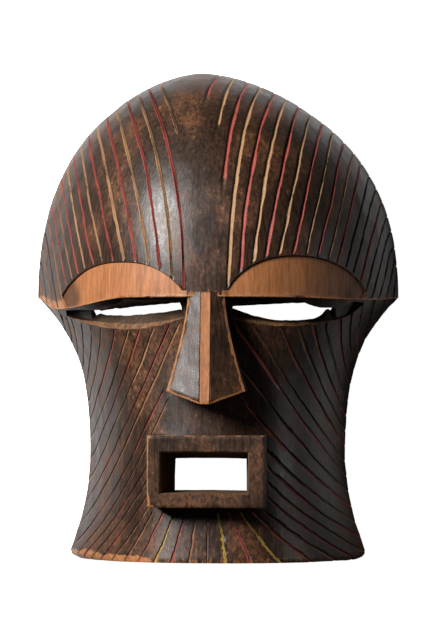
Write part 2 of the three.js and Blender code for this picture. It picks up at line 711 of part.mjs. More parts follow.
// An eye slit: sections across it at steps outwards, wide at the face's surface and narrower where it
// meets the hollow, with upright walls through the hollow's surface. Its lower front edge is bevelled out to the lip's lower edge, and past the temple
// it is only a pocket.
function eyeSolid(side) {
  const name = sideName(side);
  const past = OVERLAP / 2;
  const steps = { through: 9, pocket: 4 };
  const xs = [];
  for (let i = 0; i <= steps.through; i += 1) xs.push(mix(EYE_INNER, EYE_THROUGH, i / steps.through));
  for (let i = 0; i <= steps.pocket; i += 1) {
    xs.push(mix(EYE_THROUGH + 2, EYE_OUTER, i / steps.pocket));
  }
  const loops = xs.map((x) => {
    const part = (x - EYE_INNER) / (EYE_THROUGH - EYE_INNER);
    const top = EYE_TOP - browLine(side * x);
    const lipTop = Math.max(eyeEdge(LIP_TOP[name], x), top + EYE_LEAST_HEIGHT);
    const lip = Math.max(eyeEdge(LIP[name], x), lipTop + LIP_LEAST_HEIGHT);
    const slitTop = mix(SLIT_TOP[name].inner, SLIT_TOP[name].outer, Math.min(1, part));
    const backTop = Math.max(slitTop, top + LID_LEAST_THICKNESS);
    const slitBottom = part > 1 ? lipTop - EYE_LEAST_HEIGHT : eyeEdge(SLIT_BOTTOM[name], x);
    const backBottom = Math.max(slitBottom, backTop + EYE_LEAST_HEIGHT);
    const front = faceDepth(x, lip);
    const shallow = Math.sqrt(Math.max(0.15, (EYE_OUTER - x) / (EYE_OUTER - EYE_THROUGH)));
    const pocket = Math.max(front - EYE_POCKET * shallow, hollowDepth(x, backTop) + EYE_POCKET_FLOOR);
    const back = part > 1 ? pocket : hollowDepth(x, backBottom) - past;
    const inside = part > 1 ? back + 1 : back + past + 1;
    const lipDepth = front - LIP_BEVEL_SLOPE * (lip - lipTop);
    const loop = [
      new THREE.Vector3(side * x, -top, front + past),
      new THREE.Vector3(side * x, -backTop, inside),
      new THREE.Vector3(side * x, -backTop, back),
      new THREE.Vector3(side * x, -backBottom, back),
      new THREE.Vector3(side * x, -backBottom, inside),
      new THREE.Vector3(side * x, -lipTop, Math.max(lipDepth, inside + 1)),
      new THREE.Vector3(side * x, -lip, front),
      new THREE.Vector3(side * x, -lip - past, front + past),
    ];
    return side > 0 ? loop.reverse() : loop;
  });
  return loftLoops(loops);
}

function maskSolid() {
  return domeSolid()
    .add(faceSolid())
    .add(noseSolid())
    .add(mouthFrameSolid())
    .subtract(hollowSolids())
    .subtract(mouthTunnelSolid())
    .subtract(eyeSolid(-1))
    .subtract(eyeSolid(1));
}

function toGeometry(solid) {
  const { vertProperties, triVerts } = solid.getMesh();
  const geometry = new THREE.BufferGeometry();
  geometry.setAttribute("position", new THREE.BufferAttribute(vertProperties, 3));
  geometry.setIndex(new THREE.BufferAttribute(triVerts, 1));
  geometry.computeVertexNormals();
  return geometry;
}

const wood = new THREE.MeshStandardMaterial({
  name: "stained wood",
  color: 0x3a2a20,
  roughness: 0.6,
  metalness: 0,
  flatShading: true,
});

const mask = new THREE.Mesh(toGeometry(maskSolid()), wood);
mask.name = "mask";
// The origin is under the middle of the whole mask, on the plane it lies on.
mask.position.y = (FACE_LENGTH - domeHeight(0)) / 2;

const part = new THREE.Group();
part.name = "kifwebe mask";
part.add(mask);
export default part;
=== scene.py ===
"""A carved wooden kifwebe mask lying on its back rim, finished as worn, stained and painted wood."""
import math

import bpy
import numpy as np
from bpy.props import FloatProperty, FloatVectorProperty, PointerProperty
from mathutils import Euler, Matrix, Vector


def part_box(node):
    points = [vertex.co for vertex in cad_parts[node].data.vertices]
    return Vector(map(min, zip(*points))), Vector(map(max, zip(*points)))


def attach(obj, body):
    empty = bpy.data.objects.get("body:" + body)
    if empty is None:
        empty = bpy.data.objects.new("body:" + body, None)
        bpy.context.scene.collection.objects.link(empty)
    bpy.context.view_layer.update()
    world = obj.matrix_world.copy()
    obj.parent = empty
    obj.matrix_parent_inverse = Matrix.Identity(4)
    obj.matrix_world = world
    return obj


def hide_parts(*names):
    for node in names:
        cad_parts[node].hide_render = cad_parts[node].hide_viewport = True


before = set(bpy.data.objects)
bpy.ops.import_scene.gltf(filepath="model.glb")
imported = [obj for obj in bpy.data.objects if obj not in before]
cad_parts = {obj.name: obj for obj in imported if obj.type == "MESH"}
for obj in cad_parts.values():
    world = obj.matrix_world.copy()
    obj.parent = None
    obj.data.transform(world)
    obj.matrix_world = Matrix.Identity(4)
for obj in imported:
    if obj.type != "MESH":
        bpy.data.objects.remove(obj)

bl_info = {
    "name": "Carved Kifwebe Mask",
    "version": (1, 0, 0),
    "blender": (4, 5, 0),
    "location": "View3D > Sidebar > Mask",
    "description": "Builds a carved, grooved and painted wooden face mask with its stage",
    "category": "Add Mesh",
}

MM = 0.001
BOX_LOW, BOX_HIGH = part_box("mask")

# Sizes of the block, millimetres. Drops are measured down from the brow's lower edge.
HALF_WIDTH = (BOX_HIGH.x - BOX_LOW.x) / 2 / MM
NOSE_TIP_DEPTH = BOX_HIGH.z / MM
SHOULDER_HEIGHT = 165
CREST_HEIGHT = 7.6
CREST_REACH = 76
CREST_ROUNDING = 8
BROW_DEPTH = NOSE_TIP_DEPTH - 14
LEAN_AT_TOP = -10.5
BROW_DROOP_LEFT = 8.5
BROW_DROOP_RIGHT = 1.5
FACE_LENGTH = 199
BROW_Y = FACE_LENGTH + BOX_LOW.y / MM
WAIST_HALF_WIDTH = 97.4
CHEEK_FALL = 34
CHIN_FLARE = 15
CHIN_FLARE_START = 110
FACE_DEPTH = 92
UNDER_BROW_DEPTH = 98
CHIN_DEPTH = 106
CHIN_CORNER = 9
CHIN_BEVEL = 5
BASE_SLOPE = 0.05
SIDE_WALL = 12
FRONT_WALL = 13
BASE_WALL = 14
LEDGE_WALL = 10
OVERLAP = 10
JOIN_DEPTH = 0.75 * FACE_DEPTH

# Exponents of the outline, the plan, the side view, the face's section and the lean
OUTLINE_POWER = 2.3
PLAN_POWER = 2.4
PROFILE_POWER = 2.15
FACE_POWER = 2.6
LEAN_POWER = 3

# How far to each side a slope is measured, and the least share of its depth that a sunk point keeps
SLOPE_STEP = 0.5
LEAST_DEPTH_SHARE = 0.4

# Lids, nose, mouth and eyes
LID_CENTRE = 0.471 * HALF_WIDTH
LID_HALF_WIDTH = 0.37 * HALF_WIDTH
LID_HEIGHT_LEFT = 25.8
LID_HEIGHT_RIGHT = 30.3
NOSE_TOP_HALF_WIDTH = 13.4
NOSE_CORNER_HALF_WIDTH = 28.7
NOSE_CORNER_DROP = 68
NOSE_TIP_DROP = 77
NOSE_RIDGE_HALF_WIDTH = 3.7
NOSE_TOP_DEPTH = BROW_DEPTH + 2
NOSE_EDGE_FALL_TOP = 4
NOSE_EDGE_FALL_TIP = 11
MOUTH_HALF_WIDTH = 43
MOUTH_TOP = 99.8
MOUTH_BOTTOM = 152.7
MOUTH_DEPTH = 121
MOUTH_RIM_LEFT = 10
MOUTH_RIM_RIGHT = 12
MOUTH_RIM_TOP = 12.6
MOUTH_RIM_BOTTOM = 10.8
EYE_INNER = 0.12 * HALF_WIDTH
EYE_THROUGH = 0.63 * HALF_WIDTH
EYE_OUTER = 0.82 * HALF_WIDTH
EYE_TOP = 0.8
EYE_POCKET = 10
EYE_POCKET_FLOOR = 4
EYE_LEAST_HEIGHT = 1.5
LID_LEAST_THICKNESS = 0.4
LIP_LEAST_HEIGHT = 0.8
LIP_BEVEL_SLOPE = 0.75
ACROSS = HALF_WIDTH / 138

# Edges of the eyes by side, -1 left and 1 right: lowest drop, where that is, then rise and run
# inwards, rise and run outwards, and the outward curve's power. SLIT_TOP is the upper edge at the back,
# at its inner and its outer end, and INNER_WALL how far the inner end slants outwards on its way back.
LIP = {-1: (24.1, 62, 7, 40, 10, 53, 2), 1: (21.5, 58, 4.6, 40, 16, 53, 2.6)}
LIP_TOP = {-1: (19.5, 60, 4.2, 40, 5.5, 53, 2), 1: (18.6, 60, 4, 40, 15.5, 53, 4)}
SLIT_BOTTOM = {-1: (13.1, 70, 3.4, 48, 3.2, 17, 3), 1: (16.5, 56, 8.5, 39, 12.4, 31, 5)}
SLIT_TOP = {-1: (3.6, 9.9), 1: (6.4, 4.1)}
INNER_WALL = {-1: 5, 1: 1}

# Grooves: their numbers run outwards from the middle of the dome, and down and round the face
DOME_GROOVES = 21
FACE_GROOVES = 24
FIRST_LEFT_GROOVE = 3
FIRST_REGULAR_LINE = 4
LAST_LID_GROOVE = 12
FIRST_MOUTH_GROOVE = 15
LAST_SIDE_GROOVE = 18
FIRST_UNDER_GROOVE = 19
CORNER_GROOVE = {-1: 13.5, 1: 17.5}

# The dome's lines on the rim: the first one's angle, and by how many lines the count stops short of 90
FIRST_RIM_ANGLE = 5.7
RIM_LINES_SHORT = 0.4

# The dome's lines on the brow: where the count starts, how far past the last line it runs, and how the
# spacing grows outwards. Then the powers by which the lines bend between brow and rim, and the first
# lines on the brow by side, which have places of their own and fade out above it at a share of the rise.
BROW_LINE_ZERO = 2.3
LINES_PAST_LAST = 0.7
BROW_CROWDING = {"inner": 1.315, "outer": 1.15}
INNER_BEND = {"least": 1.1, "added": 5, "power": 1.1}
OUTER_BEND = 0.65
BEND_CHANGES_OVER = 8
FIRST_REGULAR_PLACE = 15.7 * ACROSS
FIRST_SPACING = {-1: 5.2 * ACROSS, 1: 6.6 * ACROSS}
LINE_FADES = {-1: {3: 0.65}, 1: {1: 0.8, 2: 0.68, 3: 0.43}}

# Where the face's lines start, by side: across the lids as shares of the half width, beside the nose
# as places across and down, and down the mouth's side as shares of its height
LID_STARTS = {
    -1: (0.869, 0.831, 0.799, 0.732, 0.668, 0.609, 0.522, 0.441, 0.375, 0.295, 0.201, 0.143),
    1: (0.975, 0.922, 0.867, 0.812, 0.757, 0.698, 0.618, 0.554, 0.476, 0.385, 0.232, 0.139),
}
NOSE_STARTS = {-1: ((34, 69), (30, 74.5)), 1: ((21.5, 49), (25, 75))}
MOUTH_STARTS = {-1: (0.36, 0.96), 1: (0.27, 0.88)}
UNDER_BROW_START = 3
UNDER_MOUTH_START = 4
FIRST_END = {-1: 28.4, 1: 8.4}
RIM_CROWDING = {-1: 1.3, 1: 1}
BASE_CROWDING = 1.4
BASE_EASE = {-1: 0, 1: 0.5}

# Pigment in each groove from the first one on: red, cream, ochre, yellow or dark; dark takes the
# soot-and-shade colour, and on the dome's outer right it paints the grooves' deep shadow black
DOME_RIGHT_PIGMENTS = "rcrcrcrcrcrcrddrddddd"
DOME_LEFT_PIGMENTS = "ddcrcrcrcrcrcrorododo"
FACE_RIGHT_PIGMENTS = "dddrdrdrororororororyryr"
FACE_LEFT_PIGMENTS = "ododrorcrcrorororooryror"


def clamp(value, low=0.0, high=1.0):
    """The value, held between low and high."""
    return np.clip(value, low, high)


def mix(a, b, t):
    """Straight from a, where t is 0, to b, where it is 1."""
    return a + (b - a) * t


def smooth(t):
    """An eased step from 0 to 1: three times the square of t less twice its cube."""
    t = clamp(t)
    return t * t * (3 - 2 * t)


def quarter_round(t):
    """A quarter circle: 0 where t is 0, and ever steeper to 1 where it is 1."""
    return 1 - np.sqrt(1 - clamp(t) ** 2)


def lattice(cell, seed):
    """A steady random number from 0 to 1 for each whole-number cell: its three counts, hashed."""
    mixed = cell[..., 0] * 73856093 ^ cell[..., 1] * 19349663 ^ cell[..., 2] * 83492791 ^ seed * 2971215073
    mixed = (mixed ^ (mixed >> 13)) * 1274126177
    return ((mixed ^ (mixed >> 16)) & 0xFFFFFF) / 0xFFFFFF


def noise(points, size, seed):
    """Smooth noise from -1 to 1: random values at cell corners, eased across each cell of this size."""
    scaled = np.asarray(points, float) / size
    cell = np.floor(scaled).astype(np.int64)
    part = smooth(scaled - cell)
    total = np.zeros(scaled.shape[:-1])
    for corner in np.ndindex(2, 2, 2):
        weight = np.prod(np.where(corner, part, 1 - part), axis=-1)
        total += weight * lattice(cell + corner, seed)
    return 2 * total - 1


def line_noise(number, along, size, seed):
    """The same noise along numbered lines, each line with its own run of values."""
    number, along = np.broadcast_arrays(np.asarray(number, float), along)
    zero = np.zeros_like(along)
    return noise(np.stack([along, number * size * 7, zero], axis=-1), size, seed)


def scoops(points, size, seed):
    """Adze marks, 0 at the middle of each scoop and 1 on the ridge between two of them: the squared
    distance to the nearest of one jittered point in each cell."""
    scaled = np.asarray(points, float) / size
    cell = np.floor(scaled).astype(np.int64)
    nearest = np.full(scaled.shape[:-1], 9.0)
    for step in np.ndindex(3, 3, 3):
        near = cell + np.array(step) - 1
        jitter = np.stack([lattice(near, seed + axis) for axis in range(3)], axis=-1)
        gap = ((scaled - near - jitter) ** 2).sum(axis=-1)
        nearest = np.minimum(nearest, gap)
    return clamp(nearest)


def dome_height(x, inset=0.0):
    """Outline above the brow: a superellipse shoulder and a low rounded crest added to it."""
    across = clamp(np.abs(x) / (HALF_WIDTH - inset))
    shoulder = (SHOULDER_HEIGHT - inset) * (1 - across**2) ** (1 / OUTLINE_POWER)
    crest = CREST_HEIGHT * np.maximum(0, 1 - np.hypot(x, CREST_ROUNDING) / CREST_REACH)
    return shoulder + crest


def brow_depth(x, inset=0.0):
    """Height of the brow's edge above the back rim: one minus a power of the distance out."""
    across = clamp(np.abs(x) / (HALF_WIDTH - inset))
    return (BROW_DEPTH - inset) * (1 - across**PLAN_POWER)


def brow_line(x):
    """The brow's lower edge: level in the middle, eased down near each end and back up at it."""
    droop = np.where(x < 0, BROW_DROOP_LEFT, BROW_DROOP_RIGHT)
    share = np.abs(x) / HALF_WIDTH
    return -droop * smooth((share - 0.42) / 0.44) * (1 - smooth((share - 0.88) / 0.12))


def lean(y):
    """The dome's shift to the left, growing with the cube of the height."""
    return LEAN_AT_TOP * (np.maximum(0, y) / (SHOULDER_HEIGHT + CREST_HEIGHT)) ** LEAN_POWER


def dome_point(x, rise, sink):
    """A point of the dome: height by the rise, depth by the superellipse's fall, then moved in along
    the surface's normal by the sink, but never down to the back plane."""
    height = np.maximum(dome_height(x), 1e-6)
    depth = np.maximum(brow_depth(x), 1e-6)
    fall = (1 - clamp(rise) ** PROFILE_POWER) ** (1 / PROFILE_POWER)
    low = brow_line(x)
    step = SLOPE_STEP
    height_slope = (dome_height(x + step) - dome_height(x - step)) / (2 * step)
    depth_slope = (brow_depth(x + step) - brow_depth(x - step)) / (2 * step)
    normal = np.stack(
        [
            -(rise**PROFILE_POWER) * height_slope / height - fall**PROFILE_POWER * depth_slope / depth,
            rise ** (PROFILE_POWER - 1) / height,
            fall ** (PROFILE_POWER - 1) / depth,
        ],
        axis=-1,
    )
    normal /= np.linalg.norm(normal, axis=-1, keepdims=True)
    y = low + (height - low) * rise
    point = np.stack([x + lean(y), y, depth * fall], axis=-1) - normal * sink[..., None]
    point[..., 2] = np.where(rise >= 1, 0, np.maximum(point[..., 2], LEAST_DEPTH_SHARE * depth * fall))
    return point


def lid_height(x):
    """Height of the half-moon lids above the brow: one minus a power of the distance from the lid's
    middle, raised to another, with rounder powers on the right."""
    across = clamp(np.abs(np.abs(x) - LID_CENTRE) / LID_HALF_WIDTH)
    left = LID_HEIGHT_LEFT * (1 - across**2.5) ** 0.9
    right = LID_HEIGHT_RIGHT * (1 - across**2.2) ** 0.65
    return np.where(x < 0, left, right)


def groove_x(side, number, rise):
    """Where dome line number lies: it starts on the rim at even angles, ends on the brow at spacings
    that widen outwards, and bends between them by a power of the rise. Inner lines bend late and outer
    ones early."""
    angle = np.radians(mix(FIRST_RIM_ANGLE, 90, (number - 1) / (DOME_GROOVES - RIM_LINES_SHORT)))
    at_rim = HALF_WIDTH * np.sin(np.minimum(angle, math.pi / 2))
    along = clamp((number - BROW_LINE_ZERO) / (DOME_GROOVES - BROW_LINE_ZERO + LINES_PAST_LAST))
    outwards = smooth((number - FIRST_REGULAR_LINE) / BEND_CHANGES_OVER)
    crowding = mix(BROW_CROWDING["inner"], BROW_CROWDING["outer"], outwards)
    regular = HALF_WIDTH * (1 - (1 - along) ** crowding)
    first = FIRST_REGULAR_PLACE - FIRST_SPACING[side] * (FIRST_REGULAR_LINE - number)
    at_brow = np.where(number < FIRST_REGULAR_LINE, first, regular)
    inner_bend = INNER_BEND["least"] + INNER_BEND["added"] / number ** INNER_BEND["power"]
    return side * mix(at_brow, at_rim, clamp(rise) ** mix(inner_bend, OUTER_BEND, outwards))


def half_width(width, pitch):
    """Half a groove's width as a share of the pitch, with room left to its neighbours."""
    return np.minimum(0.4, width / 2 / np.maximum(pitch, 0.1))


def half_groove(side, number, rise, width):
    """Half a dome groove's width counted in line numbers, so that it keeps its width in millimetres:
    the width over twice the distance between its neighbours."""
    none = np.zeros_like(rise)
    ahead = dome_point(groove_x(side, number + 0.5, rise), rise, none)
    behind = dome_point(groove_x(side, number - 0.5, rise), rise, none)
    return half_width(width, np.linalg.norm(ahead - behind, axis=-1))


def spread_shift(shifts, half):
    """Column shifts with the groove's edges moved to the given half widths, and the rest eased."""
    inside = shifts / GROOVE_HALF * half
    past = (np.abs(shifts) - GROOVE_HALF) / (0.5 - GROOVE_HALF)
    outside = np.sign(shifts) * (half + past * (0.5 - half))
    return np.where(np.abs(shifts) <= GROOVE_HALF, inside, outside)


def face_half_width(drop, inset=0.0):
    """Half width of the face: cheek that falls away below the brow, waist, and flare to the chin."""
    below = np.maximum(0, drop)
    cheek = (HALF_WIDTH - WAIST_HALF_WIDTH) * np.exp(-((below / CHEEK_FALL) ** 1.15))
    flare_run = FACE_LENGTH - 10 - CHIN_FLARE_START
    flare = CHIN_FLARE * clamp((drop - CHIN_FLARE_START) / flare_run, 0, 1.06) ** 2
    corner = CHIN_CORNER * quarter_round((drop - FACE_LENGTH + CHIN_CORNER) / CHIN_CORNER)
    return WAIST_HALF_WIDTH + cheek + flare - corner - 0.3 * np.maximum(0, -drop) - inset


def face_middle_depth(drop, inset=0.0):
    """Depth along the middle: a little more under the brow and towards the chin."""
    under_brow = (UNDER_BROW_DEPTH - FACE_DEPTH) * np.exp(-((np.maximum(0, drop) / 30) ** 2))
    chin = (CHIN_DEPTH - FACE_DEPTH) * clamp((drop - 70) / (FACE_LENGTH - 70)) ** 1.5
    bevel = CHIN_BEVEL * quarter_round((drop - FACE_LENGTH + CHIN_CORNER) / CHIN_CORNER)
    return FACE_DEPTH + under_brow + chin - bevel - inset


def face_depth(x, drop):
    """Depth of the face: the middle's, times one minus a power of the distance out."""
    across = clamp(np.abs(x) / face_half_width(drop))
    return face_middle_depth(drop) * (1 - across**FACE_POWER)


def hollow_depth(x, drop):
    """Depth of the hollow behind the face, inside its walls."""
    across = clamp(np.abs(x) / face_half_width(drop, SIDE_WALL))
    return face_middle_depth(drop, FRONT_WALL) * (1 - across**FACE_POWER)


def face_point(x, drop, sink):
    """A point of the face moved in along the surface's normal by the sink."""
    step = SLOPE_STEP
    slope_x = (face_depth(x + step, drop) - face_depth(x - step, drop)) / (2 * step)
    slope_drop = (face_depth(x, drop + step) - face_depth(x, drop - step)) / (2 * step)
    normal = np.stack([-slope_x, slope_drop, np.ones_like(slope_x)], axis=-1)
    normal /= np.linalg.norm(normal, axis=-1, keepdims=True)
    return np.stack([x, -drop, face_depth(x, drop)], axis=-1) - normal * sink[..., None]


def eye_edge(shape, x):
    """One of the eye's curved edges, as a drop: lowest at a centre and rising to both ends by powers
    of the distance from it."""
    lowest, centre, inner, inner_run, outer, outer_run, power = shape
    out = np.abs(x) / ACROSS - centre
    inwards = lowest - inner * (np.minimum(out, 0) / inner_run) ** 2
    outwards = lowest - outer * (np.maximum(out, 0) / outer_run) ** power
    return np.where(out < 0, inwards, outwards)


def lower_lid(side, x):
    """The lip's lower edge, and beside the eye a start just under the brow."""
    return np.maximum(-UNDER_BROW_START, eye_edge(LIP[side], x))


def fan_start(side, number):
    """Where face line number starts: on the lower lid, beside the nose, down the mouth, under it."""
    lid_x = HALF_WIDTH * np.interp(number, np.arange(LAST_LID_GROOVE) + 1, LID_STARTS[side])
    lid_drop = lower_lid(side, lid_x)
    first_drop = lower_lid(side, HALF_WIDTH * LID_STARTS[side][0])
    lid_drop = np.where(number < 1, mix(-OVERLAP, first_drop, number), lid_drop)
    upper, lower = NOSE_STARTS[side]
    first, last = (mix(MOUTH_TOP, MOUTH_BOTTOM, share) for share in MOUTH_STARTS[side])
    under = MOUTH_BOTTOM + UNDER_MOUTH_START
    inner = HALF_WIDTH * LID_STARTS[side][-1]
    stops = [LAST_LID_GROOVE, LAST_LID_GROOVE + 1, LAST_LID_GROOVE + 2, FIRST_MOUTH_GROOVE,
             LAST_SIDE_GROOVE, FIRST_UNDER_GROOVE, FACE_GROOVES]
    xs = [inner, upper[0], lower[0], MOUTH_HALF_WIDTH, MOUTH_HALF_WIDTH, MOUTH_HALF_WIDTH - 1.5, 0]
    drops = [float(lower_lid(side, inner)), upper[1], lower[1], first, last, under, under]
    on_lid = number <= LAST_LID_GROOVE
    x = np.where(on_lid, lid_x, np.interp(number, stops, xs))
    return x, np.where(on_lid, lid_drop, np.interp(number, stops, drops))


def fan_end(side, number):
    """Where face line number ends: down the side rim to the chin's corner, then along the base."""
    corner = CORNER_GROOVE[side]
    part = clamp((number - 1) / (corner - 1)) ** RIM_CROWDING[side]
    side_drop = mix(FIRST_END[side], FACE_LENGTH, part)
    side_drop = np.where(number < 1, mix(-OVERLAP, FIRST_END[side], number), side_drop)
    part = clamp((number - corner) / (FACE_GROOVES - corner))
    inwards = mix(part**BASE_CROWDING, smooth(part), BASE_EASE[side])
    base_x = (1 - inwards) * face_half_width(FACE_LENGTH)
    base_drop = np.full_like(base_x, FACE_LENGTH)
    for _ in range(6):
        base_drop = FACE_LENGTH - BASE_SLOPE * face_depth(base_x, base_drop)
    on_side = number <= corner
    across = np.where(on_side, 1, base_x / face_half_width(base_drop))
    return across, np.where(on_side, side_drop, base_drop)


def fan_root(number):
    """The drop on the middle line that face line number is carried on to, the same on both sides."""
    lid = float(lower_lid(-1, EYE_INNER) + lower_lid(1, EYE_INNER)) / 2
    above = mix(-OVERLAP, lid, clamp(number / LAST_LID_GROOVE))
    run = (number - LAST_LID_GROOVE) / (FACE_GROOVES - LAST_LID_GROOVE)
    return np.where(number <= LAST_LID_GROOVE, above, mix(lid, MOUTH_BOTTOM + UNDER_MOUTH_START, run))


def fan_place(side, number, part):
    """How far across and down face line number is at a part of its run: straight in shares of the
    face's width and in drop."""
    start_x, start_drop = fan_start(side, number)
    end_across, end_drop = fan_end(side, number)
    drop = mix(start_drop, end_drop, part)
    across = mix(start_x / face_half_width(start_drop), end_across, part)
    return side * across * face_half_width(drop), drop


def half_fan_groove(side, number, part, width):
    """Half a face groove's width counted in line numbers: the width over twice the distance between
    its neighbours, measured square to the line."""

    def at(line, run):
        x, drop = fan_place(side, line, run)
        return face_point(x, drop, np.zeros_like(x))

    heading = at(number, np.minimum(1, part + 0.03)) - at(number, np.maximum(0, part - 0.03))
    heading /= np.linalg.norm(heading, axis=-1, keepdims=True)
    high = np.minimum(FACE_GROOVES, number + 0.5)
    low = np.maximum(0, number - 0.5)
    beside = np.cross(at(high, part) - at(low, part), heading)
    return half_width(width, np.linalg.norm(beside, axis=-1) / (high - low))


class Shell:
    """A closed surface in the making: points with their pigment and finish, and faces by number.
    Pigment is red, green, blue and amount. Finish is wear, which on a few lit faces is painted light,
    bareness, shade, which is painted shade with some dirt in the lids, and hollow."""

    def __init__(self):
        self.points = []
        self.pigment = []
        self.finish = []
        self.count = 0
        self.quads = []
        self.outlines = []

    def add(self, points, pigment=None, finish=None):
        """Adds an array of points and returns their numbers in the same layout."""
        layout = points.shape[:-1]
        total = int(np.prod(layout))
        self.points.append(points.reshape(-1, 3))
        for kept, values in ((self.pigment, pigment), (self.finish, finish)):
            values = 0.0 if values is None else values
            kept.append(np.broadcast_to(values, layout + (4,)).reshape(-1, 4))
        numbers = np.arange(self.count, self.count + total).reshape(layout)
        self.count += total
        return numbers

    def cover(self, numbers, overturned=False):
        """Joins a grid of point numbers with quads, facing along the first way cross the second."""
        a, b = numbers[:-1, :-1], numbers[1:, :-1]
        c, d = numbers[1:, 1:], numbers[:-1, 1:]
        quads = np.stack([a, b, c, d], axis=-1).reshape(-1, 4)
        self.quads.append(quads[:, ::-1] if overturned else quads)

    def close(self, outline):
        """Closes a flat outline of point numbers with one face."""
        self.outlines.append(np.asarray(outline))

    def build(self, name, materials, lift=BROW_Y):
        """Merges points that share a place, drops faces without area and makes the mesh object."""
        points = np.concatenate(self.points)
        pigment = np.concatenate(self.pigment)
        finish = np.concatenate(self.finish)
        quads = np.concatenate(self.quads)
        rounded = np.round(points, 4) + 0.0
        _, first, merged = np.unique(rounded, axis=0, return_index=True, return_inverse=True)
        merged = merged.reshape(-1)
        triangles = np.concatenate([quads[:, [0, 1, 2]], quads[:, [0, 2, 3]]])
        ends = merged[triangles]
        sound = (ends[:, 0] != ends[:, 1]) & (ends[:, 1] != ends[:, 2]) & (ends[:, 2] != ends[:, 0])
        triangles = triangles[sound]
        loops = [triangles.reshape(-1)]
        sizes = [np.full(len(triangles), 3)]
        for outline in self.outlines:
            ends = merged[outline]
            kept = outline[ends != np.roll(ends, 1)]
            loops.append(kept)
            sizes.append(np.array([len(kept)]))
        loops = np.concatenate(loops)
        sizes = np.concatenate(sizes)
        places = points[first] * MM
        places[:, 1] += lift * MM
        mesh = bpy.data.meshes.new(name)
        mesh.vertices.add(len(places))
        mesh.vertices.foreach_set("co", places.astype(np.float32).reshape(-1))
        mesh.loops.add(len(loops))
        mesh.loops.foreach_set("vertex_index", merged[loops].astype(np.int32))
        mesh.polygons.add(len(sizes))
        starts = np.concatenate([[0], np.cumsum(sizes)[:-1]])
        mesh.polygons.foreach_set("loop_start", starts.astype(np.int32))
        mesh.update(calc_edges=True)
        mesh.validate()
        for label, values in (("pigment", pigment), ("finish", finish)):
            layer = mesh.attributes.new(label, "FLOAT_COLOR", "CORNER")
            layer.data.foreach_set("color", values[loops].astype(np.float32).reshape(-1))
        for material in materials:
            mesh.materials.append(material)
        piece = bpy.data.objects.new(name, mesh)
        bpy.context.scene.collection.objects.link(piece)
        return piece


def finish_of(layout, wear=0.0, bare=0.0, shade=0.0, hollow=0.0):
    """A finish array for points in this layout."""
    values = [np.broadcast_to(value, layout) for value in (wear, bare, shade, hollow)]
    return np.stack(values, axis=-1)


# Where the columns lie across one groove's pitch, how deep and how painted each is, and its painted shadow
GROOVE_HALF = 0.133
BANK = 0.22
SHIFTS = np.array([-0.5, -0.36, -BANK, -GROOVE_HALF, -GROOVE_HALF / 2, 0,
                   GROOVE_HALF / 2, GROOVE_HALF, BANK, 0.36])
SECTION = np.array([0, 0, 0, 0, 0.8, 1, 0.6, 0, 0, 0])
PAINTED = np.array([0, 0, 0, 0, 0.1, 1, 1.1, 0.9, 0, 0])
GROOVE_SHADOW = np.array([0, 0, 0, 1.1, 1.2, 0.15, 0, 0, 0, 0])

# Groove widths as shares of the set width: the dome's inner and outer lines by side, and the face's.
# Then the face's shares of the painted groove shadow and of the set depth, what of the depth is left at
# the rim, and from which line the dome's width changes and over how many.
DOME_WIDTHS = {-1: (0.78, 0.6), 1: (1.15, 0.75)}
FACE_WIDTHS = {-1: 0.56, 1: 0.92}
FACE_SHADOW_SHARE = 0.6
FACE_DEPTH_SHARE = 0.6
RIM_DEPTH_SHARE = {-1: 0.15, 1: 0.4}
WIDTH_CHANGES_FROM = 6
WIDTH_CHANGES_OVER = 6

# Length of a line over the dome and over the face, for the size of its unevenness
DOME_RUN = 200
FACE_RUN = 170

# Rows of points down the dome and in the lids, the width of the lids' outline as a share of the rise,
# the columns between the first lines, and the rows of the brow's underside and of the face's walls as
# shares of their depth
DOME_ROWS = 76
LID_ROWS = 10
CONTOUR = 0.006
CREST_COLUMNS = 16
UNDER_SHARES = np.array([0.965, 0.9, 0.8, 0.68, 0.5, 0])
WALL_SHARES = np.array([0.985, 0.93, 0.8, 0.6, 0.3, 0])


def groove_columns(first, last, edge_first=False):
    """Groove number, shift, depth, paint and painted shadow share of each column from first to last."""
    numbers = np.repeat(np.arange(first, last + 1), len(SHIFTS)).astype(float)
    others = [np.tile(values, last + 1 - first) for values in (SHIFTS, SECTION, PAINTED, GROOVE_SHADOW)]
    start = 3 if edge_first else 0
    return [values[start:] for values in (numbers, *others)]


def held(shifts):
    """How much of a line's wobble a column takes: all of it in the groove, none midway to the next."""
    return 1 - smooth((np.abs(shifts) - GROOVE_HALF) / (0.5 - GROOVE_HALF))


def unevenness(key, along, sizes, amounts, seed):
    """Long waves and short ones along numbered lines, each with its size, amount and own seed."""
    waves = zip(sizes, amounts)
    return sum(amount * line_noise(key, along, size, seed + i) for i, (size, amount) in enumerate(waves))


def paint_of(letters, numbers, colours):
    """The pigment colour of each numbered groove by its letter."""
    table = np.array([colours[letter] for letter in letters])
    return table[clamp(numbers - 1, 0, len(letters) - 1).astype(int)]


def relief(points, sizes, steepness):
    """How far the knife left the surface below its ideal: long waves, scoops where it is steep."""
    waves = 0.22 * noise(points, 26, 3) + 0.1 * noise(points, 9, 4)
    cut = sizes.scoop_depth / MM * (1 - scoops(points * [1, 0.7, 1], sizes.scoop_size / MM, 11))
    return 0.25 + waves + cut * (0.25 + 0.75 * smooth(steepness))


